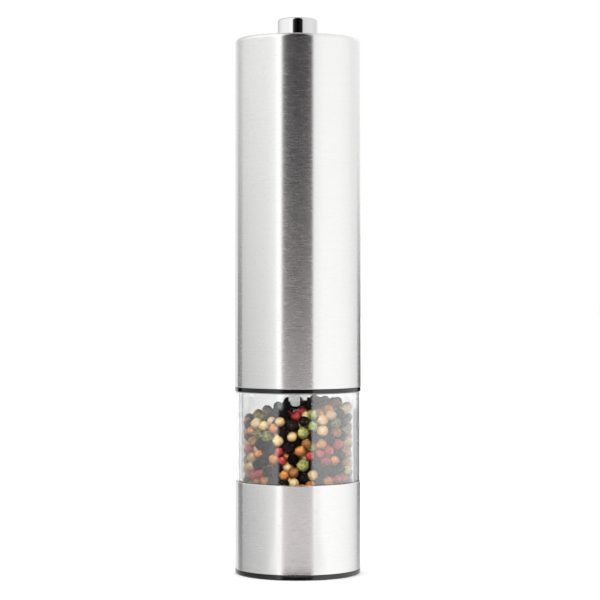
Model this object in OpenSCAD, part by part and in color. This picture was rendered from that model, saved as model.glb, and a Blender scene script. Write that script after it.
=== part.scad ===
// Electric pepper mill: an upright battery mill with a steel cover, a push button on top,
// a clear hopper and a ceramic burr set at the foot.
// Sizes are in millimetres. +Z is up, the axis of the mill is Z and it stands on z = 0.

/* [Foot and sleeve] */
// Outside diameter of the lower sleeve and of the foot ring
mill_d = 50; // [49.5:0.5:54]
// Height of the foot ring that shows below the sleeve
foot_h = 2; // [1.6:0.1:3]
// Chamfer on the lower outer edge of the foot ring
foot_chamfer = 0.4; // [0.2:0.1:1]
// Height of the lower steel sleeve
sleeve_h = 34.9; // [34:0.1:44]
// Sheet thickness of the lower sleeve
sleeve_wall = 0.7; // [0.4:0.05:0.9]
// Diameter of the outlet through the foot ring
outlet_d = 28.8; // [27:0.1:29.4]

/* [Hopper] */
// Height of the clear tube that shows between the sleeve and the motor unit
hopper_h = 35.5; // [30:0.5:50]
// Distance from the sleeve's outside to the hopper's outside
hopper_inset = 0.3; // [0.1:0.1:0.6]
// Wall of the clear tube
hopper_wall = 2.6; // [2.4:0.1:3]
// Length of the hopper that goes down into the sleeve
spigot_h = 8; // [6:0.5:8.5]
// Height of the neck that goes up into the motor unit
neck_h = 5.4; // [4:0.2:8]
// Distance from the hopper's outside to the neck's outside
neck_inset = 1.8; // [1.6:0.1:2.2]
// Wall of the neck
neck_wall = 1.8; // [1.5:0.1:2.2]
// Thickness of the seal between the hopper and the motor unit
seal_h = 0.25; // [0.2:0.05:0.8]

/* [Peppercorns] */
// Diameter of one peppercorn
corn_d = 5.2; // [5:0.1:5.6]
// Height of the fill at the axis, from the shoulder of the hopper down
fill_drop = 3; // [1:0.5:12]
// Rise of the fill for each millimetre towards +X
fill_slope = 0.1; // [0:0.01:0.2]

/* [Burr set] */
// Outside diameter of the fixed ceramic burr
outer_burr_d = 30; // [29.8:0.1:30.4]
// Height of the fixed ceramic burr
outer_burr_h = 11.6; // [11.2:0.1:12]
// Largest diameter of the turning ceramic burr
inner_burr_d = 24.8; // [24.2:0.1:25]
// Height of the turning ceramic burr
inner_burr_h = 9.7; // [9.2:0.1:10.2]
// Height of the fine grinding zone of both burrs
fine_h = 3; // [2.6:0.1:3.2]
// Gap between the burrs at the fine end, at the coarsest setting
burr_gap = 0.45; // [0.42:0.01:0.8]
// Number of fine grooves in the turning burr
inner_grooves = 24; // [12:1:30]
// Number of fine grooves in the fixed burr
outer_grooves = 30; // [12:1:36]
// Diameter of the adjusting knob under the burrs
knob_d = 14; // [12:0.5:16]
// Height of the adjusting knob
knob_h = 5.1; // [4.4:0.1:6]
// Number of finger flutes round the adjusting knob
knob_flutes = 12; // [8:1:16]
// Diameter of the adjusting thread at the foot of the shaft
thread_d = 3.9; // [3:0.1:3.9]

/* [Shaft] */
// Side of the square drive shaft
shaft_side = 4; // [3.6:0.1:4.2]
// Diameter of the round journal that turns in the bush
journal_d = 7; // [6.4:0.1:7.2]
// Distance across the flats of the hexagonal drive coupling
coupling_flats = 6.65; // [6.4:0.05:7]
// Length of the coupling that hangs below the motor unit
coupling_drop = 7.1; // [5:0.1:9]
// Height of the chamfer at the coupling's lower end
coupling_chamfer = 1.8; // [1:0.1:2.2]
// Turn of the coupling's front flat away from -Y
coupling_turn = -17; // [-30:1:30]

/* [Motor unit] */
// Height of the black flange that shows between the hopper and the cover
flange_h = 1.5; // [1:0.1:4]
// How far the flange stands proud of the sleeve
flange_proud = 0.1; // [0:0.05:0.15]
// Wall of the chassis tube
chassis_wall = 1.5; // [1.2:0.1:1.6]
// Thickness of the floor that carries the gearbox
floor_t = 2.4; // [2.2:0.1:3.5]

/* [Gearbox] */
// Module of all gears
gear_module = 0.7; // [0.65:0.01:0.71]
// Teeth on each sun gear
sun_teeth = 12; // [12:6:12]
// Teeth on each planet gear
planet_teeth = 18; // [18:6:18]
// Face width of the gears
gear_w = 5; // [4:0.25:6]
// Radial thickness of the gearbox wall behind the ring teeth
gearbox_wall = 2.4; // [2.2:0.1:2.5]
// Thickness of each planet carrier
carrier_t = 2; // [1.6:0.1:2.6]
// Diameter of the pins that carry the planets
planet_pin_d = 3; // [2.4:0.1:3.4]

/* [Motor] */
// Diameter of the motor can
motor_d = 24.2; // [22:0.2:27]
// Length of the motor can
motor_l = 25; // [25:0.5:27]
// Diameter of the motor shaft
motor_shaft_d = 2; // [1.8:0.1:2.3]

/* [Batteries] */
// Diameter of one cell
cell_d = 14.5; // [14:0.1:14.6]
// Length of one cell with its button
cell_l = 50.5; // [49:0.1:52]
// Distance between the axes of neighbouring cells
cell_pitch = 16; // [15.8:0.1:16.4]
// Length of a loaded contact spring
contact_spring_l = 4; // [3.4:0.1:5]
// Wall of a cell tube
cell_wall = 1.15; // [1:0.05:1.3]

/* [Cover and button] */
// Height of the steel cover
cover_h = 138.5; // [137.5:0.5:150]
// How far the cover's lower edge stands proud of the sleeve
cover_proud = 0.2; // [0.15:0.05:0.5]
// How much smaller the cover's radius is at the top
cover_draft = 0.3; // [0:0.05:0.35]
// Sheet thickness of the cover
cover_wall = 0.6; // [0.5:0.05:0.7]
// Outer radius of the cover's top edge
cover_edge_r = 1.5; // [1:0.1:3]
// Diameter of the push button
button_d = 16.1; // [14:0.1:17]
// Height of the push button above the cover
button_h = 8.2; // [6:0.1:10]
// Radius of the push button's top edge
button_edge_r = 1.2; // [0.6:0.1:2]
// Wall of the push button
button_wall = 1.2; // [1:0.1:1.5]
// Travel of the push button
button_travel = 2.5; // [1.5:0.1:3]

/* [Clearances] */
// Radial clearance of parts that are pushed together
fit = 0.15; // [0.1:0.01:0.16]
// Radial clearance of parts that turn in each other
run = 0.05; // [0.03:0.01:0.08]
// Gap between faces that meet
face = 0.1; // [0.05:0.01:0.15]
// Thinning of each gear tooth along the pitch circle
backlash = 0.1; // [0.06:0.01:0.15]

/* [Hidden] */
$fn = 96;
over = 1;        // how far a cut runs past what it cuts
sheet = 0.4;     // stamped contact sheet
seam = 0.02;     // between faces that are screwed together
turn_n = 3;      // planets, spokes and screws round the axis

// Heights, from the foot up
z_sleeve = foot_h;
z_hopper = z_sleeve + sleeve_h;
z_spigot = z_hopper - spigot_h;
z_shoulder = z_hopper + hopper_h;
z_taper = z_shoulder + 0.6;
z_neck = z_shoulder + neck_h;
z_flange = z_shoulder + seal_h + run;
z_cover = z_flange + flange_h + face;
z_floor = z_neck + 0.8;
z_gearbox = z_floor + floor_t;
z_cover_top = z_cover + cover_h;

// Radii of the casing, from the outside in
mill_r = mill_d / 2;
sleeve_ir = mill_r - sleeve_wall;
inner_r = sleeve_ir - fit;
hopper_r = mill_r - hopper_inset;
hopper_ir = hopper_r - hopper_wall;
neck_r = hopper_r - neck_inset;
neck_ir = neck_r - neck_wall;
flange_r = mill_r + flange_proud;
cover_r = mill_r + cover_proud;
cover_top_r = cover_r - cover_draft;
chassis_r = cover_top_r - cover_wall - 2 * fit;
chassis_ir = chassis_r - chassis_wall;
socket_r = neck_r + fit;

// Burr set
z_burr = 8.3;                                  // underside of the fixed burr
z_inner = z_burr - 0.5;                        // underside of the turning burr
foot_floor = foot_h + 1;                       // thickness of the foot ring inside the sleeve
collar_t = 2.8;                                // wall of the collar that carries the fixed burr
outlet_r = outlet_d / 2;
burr_seat_r = outer_burr_d / 2 + run * 2;
seat_wall = 2.2;
z_lip = z_burr + outer_burr_h + face;          // shoulder above the fixed burr
z_throat = z_lip + 1.8;
throat_r = burr_seat_r - 2.1;
housing_wall = 2;
z_housing = z_burr - face;
z_housing_top = z_spigot - 0.2;
hub_h = 5;
inner_slope = 0.5;                             // radius lost for each millimetre up the fine zone
outer_fine_r = inner_burr_d / 2 - inner_slope * (z_burr - z_inner) + burr_gap;
screw_ring_r = 19.75;
screw_r = 1.25;
screw_head_r = 2.3;
screw_head_h = 1.3;

// Shaft
journal_r = journal_d / 2;
bush_r = journal_r + run + 1;
hub_r = bush_r + 1.5;
shaft_corner_r = shaft_side / 2 * sqrt(2);
z_bush = z_throat;
z_bush_top = z_bush + hub_h;
clip_t = 0.6;
z_clip = z_bush - 0.2 - clip_t;
clip_r = journal_r + 2;
groove_depth = 0.5;
z_square = z_burr + 0.9;                       // where the thread ends and the square begins
z_shaft_foot = z_inner - knob_h + 0.4;
z_shaft_top = z_neck - 1.8;
spring_pocket_r = 5.8;
z_spring_seat = z_inner + 6.7;
spring_wire = 0.6;
knob_r = knob_d / 2;
nut_r = 4;

// Coupling and gearbox
coupling_r = coupling_flats / sqrt(3);
z_coupling = z_flange - coupling_drop;
socket_side = shaft_side + 0.2;
sun_r = gear_module * sun_teeth / 2;
planet_r = gear_module * planet_teeth / 2;
ring_teeth = sun_teeth + 2 * planet_teeth;
ring_r = gear_module * ring_teeth / 2;
arm_r = sun_r + planet_r;
pressure = 25;
addendum = 0.8 * gear_module;
dedendum = gear_module;
gearbox_r = ring_r + dedendum + gearbox_wall;
lug_ring_r = gearbox_r - 0.2;
lug_r = 2.1;
lug_back = 0.1;                                // the lugs stand back from the joint faces
cover_plate_t = 2;
out_hub_r = coupling_r + 2.16;
out_bush_r = out_hub_r + run + 0.95;
boss_r = out_bush_r + 2;
end_play = 0.3;                                // axial play of the planets
z_ring = z_gearbox + cover_plate_t;
z_out_disc = z_ring + 0.4;
z_planet2 = z_out_disc + carrier_t + end_play;
z_mid_disc = z_planet2 + gear_w + 0.5;
z_planet1 = z_mid_disc + carrier_t + end_play;
z_gear_roof = z_planet1 + gear_w + 0.5;
roof_t = 2;
z_motor = z_gear_roof + roof_t;
planet_pin_r = planet_pin_d / 2;

// Motor
motor_r = motor_d / 2;
motor_wall = 1;
motor_boss_r = 5;
motor_boss_h = 1.7;
z_motor_top = z_motor + motor_l;
end_cap_t = 2.5;
magnet_t = 1.4;
air_gap = 0.6;
core_r = motor_r - motor_wall - magnet_t - air_gap - fit;
z_core = z_motor + 5;
core_h = 14;
commutator_r = 2.6;
z_commutator = z_core + core_h + 1.8;
commutator_h = 3;
z_terminal = z_motor_top + end_cap_t + 2.8;
terminal_x = 7;
terminal_w = 2.5;

// Battery case
cell_r = cell_d / 2;
cell_at = cell_pitch / 2;
cell_bore_r = cell_r + 0.2;
cell_nub_r = 2.75;
cell_nub_h = 1.5;
z_case = z_terminal + sheet + 1.3;
case_r = chassis_ir - 0.2;
case_floor_t = 2;
z_cells = z_case + case_floor_t + sheet;
z_cells_top = z_cells + contact_spring_l + cell_l;
z_cap = z_cells_top + sheet + face;
cap_t = 2;
z_cap_top = z_cap + cap_t;
strip_w = 3;
strip_x = case_r - 0.5;                        // outer face of the two contact strips
strip_slot = strip_w + 0.6;
link_r = 1;
link_y = -cell_at + 3.8;                      // where the motor link goes through the floor
post_x = 5.5;
post_r = 1.5;
post_h = 1.2;
z_post = z_cap_top + sheet + post_h;

// Button
button_r = button_d / 2;
cover_top_t = cover_wall + 0.1;
z_button_top = z_cover_top + button_h;
z_cover_under = z_cover_top - cover_top_t;
flange_grip = 1.35;                            // how far the button's flange reaches under the cover
button_flange_h = 1.6;
z_button_flange = z_cover_under - 0.2 - button_flange_h;
cup_r = button_r + flange_grip + 0.4;
cup_wall = 1.5;
cup_floor_t = 1.5;
bridge_t = 0.6;
bridge_r = post_x + post_r;
stem_r = 2.5;
z_bridge = z_post + 0.2 + button_travel;
z_stem = z_bridge + bridge_t;
z_cup = z_stem + 0.6;
z_cup_floor = z_cup + cup_floor_t;
button_roof_t = 1.5;

// Shared shapes

// A solid of revolution from [radius, height] points
module turn(points) {
    rotate_extrude() polygon(points);
}

// A plain tube between two heights
module tube(outer, inner, low, high) {
    translate([0, 0, low]) difference() {
        cylinder(r = outer, h = high - low);
        translate([0, 0, -over]) cylinder(r = inner, h = high - low + 2 * over);
    }
}

// A plain rod between two heights
module rod(r, low, high) {
    translate([0, 0, low]) cylinder(r = r, h = high - low);
}

// A square bar on the axis between two heights
module square_bar(side, low, high) {
    translate([-side / 2, -side / 2, low]) cube([side, side, high - low]);
}

// Upright hexagonal bar, turned as the coupling is
module hex_bar(radius, low, high) {
    translate([0, 0, low]) rotate([0, 0, coupling_turn]) cylinder(r = radius, h = high - low, $fn = 6);
}

// Copies of the children, evenly round the axis
module around(count, radius, start = 0) {
    for (i = [0 : count - 1])
        rotate([0, 0, start + 360 * i / count]) translate([radius, 0, 0]) children();
}

// Points of a quarter round of radius r about [x, z], between two angles
function arc(x, z, r, from, to, steps = 6) =
    [for (i = [0 : steps]) let (a = from + (to - from) * i / steps) [x + r * cos(a), z + r * sin(a)]];

// A pan head screw that points up, its head's underside at z = 0
module screw(length) {
    translate([0, 0, -screw_head_h]) difference() {
        cylinder(r = screw_head_r, h = screw_head_h);
        for (a = [0, 90]) rotate([0, 0, a])
            translate([-screw_head_r * 0.6, -0.3, -over]) cube([screw_head_r * 1.2, 0.6, over + 0.6]);
    }
    cylinder(r = screw_r, h = length);
}

// A coil spring swept along a helix, as one closed tube
module coil(r_low, r_high, low, high, turns, wire, sides = 6, rings = 8) {
    count = turns * rings;
    points = [
        for (i = [0 : count], s = [0 : sides - 1])
            let (t = i / count, a = 360 * turns * t, b = 360 * s / sides,
                 r = r_low + (r_high - r_low) * t + wire / 2 * cos(b),
                 z = low + wire / 2 + (high - low - wire) * t + wire / 2 * sin(b))
            [r * cos(a), r * sin(a), z]
    ];
    walls = [
        for (i = [0 : count - 1], s = [0 : sides - 1])
            let (a = i * sides + s, b = i * sides + (s + 1) % sides)
            each [[a, a + sides, b], [b, a + sides, b + sides]]
    ];
    first = [for (s = [1 : sides - 2]) [0, s, s + 1]];
    last = [for (s = [1 : sides - 2]) [count * sides, count * sides + s + 1, count * sides + s]];
    polyhedron(points, concat(walls, first, last));
}

// Gear outlines

// The involute of an angle, in degrees
function involute(a) = tan(a) * 180 / PI - a;

// Half the angle of a tooth at radius r
function half_tooth(r, teeth, thin) =
    let (pitch_r = gear_module * teeth / 2, base_r = pitch_r * cos(pressure),
         at_r = r > base_r ? acos(base_r / r) : 0)
    90 / teeth - thin / (2 * pitch_r) * 180 / PI + involute(pressure) - involute(at_r);

// The outline of a gear with its first tooth on +X
function gear_outline(teeth, outward, inward, thin, steps = 4) =
    let (pitch_r = gear_module * teeth / 2, root_r = pitch_r - inward, tip_r = pitch_r + outward)
    [for (i = [0 : teeth - 1], side = [-1, 1], k = [0 : steps])
        let (up = side < 0 ? k : steps - k, r = root_r + (tip_r - root_r) * up / steps,
             a = 360 * i / teeth + side * half_tooth(r, teeth, thin))
        [r * cos(a), r * sin(a)]];

module gear(teeth, low, width) {
    translate([0, 0, low]) linear_extrude(width)
        polygon(gear_outline(teeth, addendum, dedendum, backlash));
}

// One planet, in mesh with a sun that has a tooth towards it
module planet(low, angle) {
    color("ivory") rotate([0, 0, angle]) translate([arm_r, 0, 0]) difference() {
        rotate([0, 0, 180 / planet_teeth]) gear(planet_teeth, low, gear_w);
        rod(planet_pin_r + run, low - over, low + gear_w + over);
    }
}

// Three pins that carry planets
module planet_pins(low, high) {
    around(turn_n, arm_r) rod(planet_pin_r, low, high);
}

// Lower body

module foot_ring() {
    color("#1b1b1c") difference() {
        turn([
            [mill_r - foot_chamfer, 0], [mill_r, foot_chamfer], [mill_r, foot_h], [inner_r, foot_h],
            [inner_r, z_housing - face], [inner_r - housing_wall, z_housing - face],
            [inner_r - housing_wall, foot_floor], [outlet_r + collar_t, foot_floor],
            [outlet_r + collar_t, z_housing - face], [outlet_r, z_housing - face],
            [outlet_r, foot_chamfer], [outlet_r + foot_chamfer, 0]
        ]);
        around(turn_n, screw_ring_r, 60) {
            rod(screw_head_r + fit, -over, screw_head_h + 0.4);
            rod(screw_r + run, 0, foot_floor + over);
        }
    }
}

module lower_sleeve() {
    edge = sleeve_wall / 3;
    color("silver") turn([
        [mill_r - edge, z_sleeve + run], [mill_r, z_sleeve + run + edge], [mill_r, z_hopper - run - edge],
        [mill_r - edge, z_hopper - run], [sleeve_ir, z_hopper - run], [sleeve_ir, z_sleeve + run]
    ]);
}

module grinder_housing() {
    slope = (z_housing_top - z_throat) / (hopper_ir - throat_r - 2.7);
    cavity_r = burr_seat_r + seat_wall;
    cavity_out_r = inner_r - housing_wall;
    roof = 2.5;
    z_cavity = z_throat + slope * (cavity_r - throat_r - 2.6) - roof;
    color("#2a2a2b") difference() {
        union() {
            turn([
                [inner_r, z_housing], [inner_r, z_housing_top], [hopper_ir - 0.1, z_housing_top],
                [throat_r + 2.6, z_throat], [throat_r, z_throat], [throat_r, z_lip], [burr_seat_r, z_lip],
                [burr_seat_r, z_housing], [cavity_r, z_housing], [cavity_r, z_cavity],
                [cavity_out_r, z_cavity + slope * (cavity_out_r - cavity_r)], [cavity_out_r, z_housing]
            ]);
            rod(hub_r, z_bush, z_bush_top);
            for (a = [0 : 120 : 240]) rotate([0, 0, a])
                translate([hub_r - 0.5, -1.5, z_bush]) cube([throat_r + 4 - hub_r, 3, 3.2]);
            around(turn_n, screw_ring_r, 60) rod(screw_r + 1.15, foot_floor + face, z_throat + 2.2);
        }
        rod(bush_r + run / 2, z_bush - over, z_bush_top + over);
        around(turn_n, screw_ring_r, 60) rod(screw_r + run, foot_floor, z_housing + 3);
    }
}

module outer_burr() {
    waist_r = outer_fine_r - inner_slope * fine_h;
    high = z_burr + outer_burr_h;
    groove = 0.9;
    lean = atan(inner_slope);
    mouth_lean = atan((throat_r - waist_r) / (outer_burr_h - fine_h));
    color("whitesmoke") difference() {
        turn([
            [outer_burr_d / 2, z_burr], [outer_burr_d / 2, high], [throat_r, high],
            [waist_r, z_burr + fine_h], [outer_fine_r, z_burr]
        ]);
        around(outer_grooves, (outer_fine_r + waist_r) / 2)
            translate([0, 0, z_burr + fine_h / 2]) rotate([15, -lean, 0]) rotate([0, 0, 45])
                cube([groove, groove, fine_h * 1.6], center = true);
        around(outer_grooves / 3, (throat_r + waist_r) / 2)
            translate([0, 0, (z_burr + fine_h + high) / 2]) rotate([18, mouth_lean, 0]) rotate([0, 0, 45])
                cube([groove * 1.6, groove * 1.6, outer_burr_h], center = true);
    }
}

module hopper() {
    color([0.9, 0.93, 0.95, 0.35]) turn([
        [inner_r, z_spigot], [inner_r, z_hopper], [hopper_r, z_hopper], [hopper_r, z_shoulder],
        [neck_r, z_shoulder], [neck_r, z_neck], [neck_ir, z_neck], [neck_ir, z_taper + hopper_ir - neck_ir],
        [hopper_ir, z_taper], [hopper_ir, z_spigot]
    ]);
}

module hopper_seal() {
    color("#8d9094") tube(hopper_r - face, neck_r + run, z_shoulder, z_shoulder + seal_h);
}

module shaft_bush() {
    color("#b08d57") tube(bush_r, journal_r + run, z_bush, z_bush_top);
}

// The fill: rings of corns in layers, each layer turned half a step, up to a sloping top
module peppercorns() {
    corn_gap = 0.16;
    step = corn_d + corn_gap;
    layer = 0.885 * corn_d;
    outer_ring_r = hopper_ir - fit - corn_d / 2;
    rings = [for (r = [outer_ring_r : -step - 0.04 : coupling_r + corn_d / 2 + 1]) r];
    z_first = z_housing_top + 0.29 * corn_d;
    z_fill = z_shoulder - fill_drop;
    color("saddlebrown")
        for (k = [0 : floor((z_fill - z_first) / layer) + 1], r = rings)
            let (count = floor(180 / asin(step / 2 / r)), z = z_first + k * layer)
            for (i = [0 : count - 1])
                let (a = 360 / count * (i + (k % 2) / 2), x = r * cos(a))
                if (z + corn_d / 2 < min(z_fill + fill_slope * x, z_shoulder - 1))
                    translate([x, r * sin(a), z]) sphere(d = corn_d);
}

module foot_screws() {
    color("dimgray") around(turn_n, screw_ring_r, 60)
        translate([0, 0, screw_head_h + 0.3]) screw(z_housing - screw_head_h);
}

// Shaft and burr

module drive_shaft() {
    color("lightgray") difference() {
        union() {
            rod(thread_d / 2, z_shaft_foot, z_square);
            square_bar(shaft_side, z_square, z_shaft_top);
            rod(journal_r, z_clip - 0.8, z_bush_top + 0.2);
            rod(hub_r - 0.4, z_bush_top + 0.2, z_bush_top + 1.8);
        }
        tube(journal_r + over, journal_r - groove_depth, z_clip, z_clip + clip_t + face);
    }
}

module shaft_clip() {
    gap = 2.4;
    color("slategray") difference() {
        tube(clip_r, journal_r - groove_depth + run, z_clip + face / 2, z_clip + clip_t);
        translate([0, -gap / 2, z_clip - over]) cube([clip_r + over, gap, clip_t + 2 * over]);
    }
}

module burr_spring() {
    color("gainsboro") coil(4.4, 4.4, z_spring_seat + run, z_clip, 4, spring_wire);
}

module inner_burr() {
    low_r = inner_burr_d / 2;
    waist_r = low_r - inner_slope * fine_h;
    top_r = waist_r - 3.5;
    groove = 0.9;
    flute = 2;
    lean = atan(inner_slope);
    top_lean = atan(3.5 / (inner_burr_h - fine_h));
    color("white") difference() {
        turn([
            [0, z_inner], [low_r, z_inner], [waist_r, z_inner + fine_h], [top_r, z_inner + inner_burr_h],
            [0, z_inner + inner_burr_h]
        ]);
        rod(spring_pocket_r, z_spring_seat, z_inner + inner_burr_h + over);
        square_bar(socket_side, z_inner - over, z_spring_seat + over);
        around(inner_grooves, (low_r + waist_r) / 2)
            translate([0, 0, z_inner + fine_h / 2]) rotate([-15, -lean, 0]) rotate([0, 0, 45])
                cube([groove, groove, fine_h * 1.6], center = true);
        around(inner_grooves / 4, (top_r + waist_r) / 2)
            translate([0, 0, z_inner + (fine_h + inner_burr_h) / 2]) rotate([-20, -top_lean, 0])
                rotate([0, 0, 45]) cube([flute, flute, inner_burr_h], center = true);
    }
}

module adjuster_knob() {
    low = z_inner - run - knob_h;
    color("#202021") difference() {
        turn([
            [0, low], [knob_r - 0.6, low], [knob_r, low + 0.6], [knob_r, z_inner - run - 1.2],
            [knob_r - 2, z_inner - run], [0, z_inner - run]
        ]);
        around(knob_flutes, knob_r + 0.5) rod(1, low - over, z_inner + over);
        rod(thread_d / 2 + run, low - over, z_inner + over);
        translate([0, 0, low + 1.9]) cylinder(r = nut_r + run, h = knob_h, $fn = 6);
    }
}

module adjuster_nut() {
    low = z_inner - run - knob_h + 1.9 + face / 2;
    color("#c8a552") difference() {
        translate([0, 0, low]) cylinder(r = nut_r, h = z_inner - run - low, $fn = 6);
        rod(thread_d / 2 + run, low - over, z_inner + over);
    }
}

// Motor unit

// The black moulding behind the cover: flange, socket for the neck, gearbox floor and tube
module chassis() {
    rib_w = 3;
    color("#1d1d1e") difference() {
        union() {
            turn([
                [socket_r, z_flange], [flange_r, z_flange], [flange_r, z_flange + flange_h],
                [chassis_r, z_flange + flange_h], [chassis_r, z_cap_top], [chassis_ir, z_cap_top],
                [chassis_ir, z_gearbox], [boss_r + face, z_gearbox], [boss_r + face, z_floor],
                [socket_r, z_floor]
            ]);
            for (a = [30 : 120 : 270]) rotate([0, 0, a])
                translate([gearbox_r + 0.6, -rib_w / 2, z_motor + face])
                    cube([chassis_ir - gearbox_r, rib_w, z_case - z_motor - 2 * face]);
        }
        around(turn_n, lug_ring_r, 60) {
            rod(screw_r + run, z_floor - over, z_gearbox + over);
            rod(screw_head_r + fit, z_floor - over, z_floor + screw_head_h + face);
        }
    }
}

// The outline that the gearbox and its cover share: a disc with three screw lugs
module gearbox_body(low, high) {
    rod(gearbox_r, low, high);
    around(turn_n, lug_ring_r, 60) rod(lug_r, low + lug_back, high - lug_back);
}

module gearbox_cover() {
    color("#d9d5c8") difference() {
        union() {
            gearbox_body(z_gearbox + seam, z_ring - seam);
            rod(boss_r, z_floor + 0.2, z_gearbox + over);
        }
        rod(out_bush_r + run / 2, z_floor, z_ring + over);
        around(turn_n, lug_ring_r, 60) rod(screw_r + run, z_gearbox - over, z_ring + over);
    }
}

module gearbox_housing() {
    color("#d9d5c8") difference() {
        gearbox_body(z_ring, z_motor);
        translate([0, 0, z_ring - over]) linear_extrude(z_gear_roof - z_ring + over)
            rotate([0, 0, 180 / ring_teeth])
                polygon(gear_outline(ring_teeth, dedendum, addendum, -backlash));
        rod(motor_boss_r + face, z_gear_roof - over, z_motor + over);
        around(turn_n, lug_ring_r, 60) rod(screw_r + run, z_ring - over, z_ring + 7);
        for (x = [-8, 8]) translate([x, 0, 0]) {
            rod(1 + run, z_gear_roof - over, z_motor + over);
            rod(2 + face, z_gear_roof - over, z_gear_roof + 1.2);
        }
    }
}

module output_bush() {
    color("#b08d57") tube(out_bush_r, out_hub_r + run, z_floor + 0.2, z_ring);
}

module gearbox_screws() {
    color("dimgray") around(turn_n, lug_ring_r, 60)
        translate([0, 0, z_floor + screw_head_h + run]) screw(floor_t - screw_head_h + cover_plate_t + 6);
}

module output_carrier() {
    color("#cfcbbd") difference() {
        union() {
            rod(out_hub_r, z_floor + 0.3, z_out_disc + over);
            rod(arm_r + planet_pin_r + 2, z_out_disc, z_out_disc + carrier_t);
            planet_pins(z_out_disc + over, z_planet2 + gear_w + 0.2);
        }
        hex_bar(coupling_r + run, z_floor, z_out_disc + 1);
    }
}

module drive_coupling() {
    tip_r = coupling_r * 0.68;
    color("gainsboro") difference() {
        intersection() {
            hex_bar(coupling_r, z_coupling, z_out_disc + 0.9);
            turn([
                [0, z_coupling], [tip_r, z_coupling], [coupling_r + 0.1, z_coupling + coupling_chamfer],
                [coupling_r + 0.1, z_ring + carrier_t + over], [0, z_ring + carrier_t + over]
            ]);
        }
        square_bar(socket_side, z_coupling - over, z_shaft_top + 1);
    }
}

module middle_carrier() {
    color("#cfcbbd") {
        rod(arm_r + planet_pin_r + 2, z_mid_disc, z_mid_disc + carrier_t);
        gear(sun_teeth, z_planet2 + 0.2, z_mid_disc - z_planet2 - 0.2 + over);
        planet_pins(z_mid_disc + over, z_planet1 + gear_w + 0.2);
    }
}

module sun_pinion() {
    low = z_planet1 + 0.1;
    color("#c8a552") difference() {
        gear(sun_teeth, low, gear_w + 0.3);
        rod(motor_shaft_d / 2 + 0.02, low - over, low + gear_w + over);
    }
}

// Motor

module motor_can() {
    color("silver") difference() {
        union() {
            tube(motor_r, motor_r - motor_wall, z_motor, z_motor_top);
            rod(motor_r - motor_wall / 2, z_motor, z_motor + motor_wall);
            rod(motor_boss_r, z_motor - motor_boss_h, z_motor + motor_wall);
        }
        rod(motor_shaft_d / 2 + run, z_motor - motor_boss_h - over, z_motor + 2 * over);
        for (x = [-8, 8]) translate([x, 0, 0]) rod(1 + run, z_motor - over, z_motor + 2 * over);
    }
}

module motor_end_cap() {
    color("#e4e0d2") difference() {
        union() {
            rod(motor_r, z_motor_top, z_motor_top + end_cap_t);
            rod(3.5, z_motor_top + end_cap_t - over, z_motor_top + end_cap_t + 1.5);
        }
        rod(motor_shaft_d / 2 + run, z_motor_top - over, z_motor_top + end_cap_t + 2 * over);
        for (a = [0, 180]) rotate([0, 0, a])
            translate([terminal_x - face, -terminal_w / 2 - face, z_motor_top - over])
                cube([sheet + 2 * face, terminal_w + 2 * face, end_cap_t + 2 * over]);
    }
}

module motor_magnets() {
    outer = motor_r - motor_wall - face / 2;
    color("#4a4a4d") for (a = [0, 180]) rotate([0, 0, a - 60]) translate([0, 0, z_core - 1])
        rotate_extrude(angle = 120) translate([outer - magnet_t, 0]) square([magnet_t, core_h + 2]);
}

module motor_brushes() {
    color("#2c2c2e") for (a = [0, 180]) rotate([0, 0, a])
        translate([commutator_r + run, -0.8, z_commutator + 0.4])
            cube([terminal_x - commutator_r - run, 1.6, commutator_h - 0.8]);
}

module motor_terminals() {
    color("#c8a552") for (a = [0, 180]) rotate([0, 0, a])
        translate([terminal_x, -terminal_w / 2, z_commutator])
            cube([sheet, terminal_w, z_terminal - z_commutator]);
}

module motor_screws() {
    color("dimgray") for (x = [-8, 8]) translate([x, 0, 0]) {
        rod(2, z_gear_roof + run, z_gear_roof + 1.1);
        rod(1, z_gear_roof + run, z_motor + 2.4);
    }
}

module motor_core() {
    neck = 5;
    color("#8a8c90") translate([0, 0, z_core]) difference() {
        cylinder(r = core_r, h = core_h);
        translate([0, 0, -over]) cylinder(r = motor_shaft_d / 2 + 0.02, h = core_h + 2 * over);
        for (a = [0 : 120 : 240]) rotate([0, 0, a + 60]) {
            translate([0, -0.8, -over]) translate([neck, 0, 0]) cube([core_r, 1.6, core_h + 2 * over]);
            translate([neck + 0.6, 0, -over]) cylinder(r = 2.1, h = core_h + 2 * over);
        }
    }
}

module motor_coils() {
    color("#b4652f") for (a = [0 : 120 : 240]) rotate([0, 0, a])
        translate([neck_from_axis(), -2.6, z_core + core_h + face / 2]) cube([3, 5.2, 1.3]);
}

// Distance from the axis to a coil's inner end
function neck_from_axis() = commutator_r + 1.2;

module motor_shaft() {
    color("lightgray") rod(motor_shaft_d / 2, z_planet1 + 0.1, z_motor_top + end_cap_t + 2);
}

module commutator() {
    color("#b4652f") tube(commutator_r, motor_shaft_d / 2 + 0.02, z_commutator, z_commutator + commutator_h);
}

// Batteries and contacts

// Where cell n stands, and whether its button points up
function cell_xy(n) = [n == 1 || n == 4 ? -cell_at : cell_at, n < 3 ? -cell_at : cell_at];
function cell_up(n) = n % 2 == 1;

module at_cells() {
    for (n = [1 : 4]) translate(concat(cell_xy(n), 0)) children();
}

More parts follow.
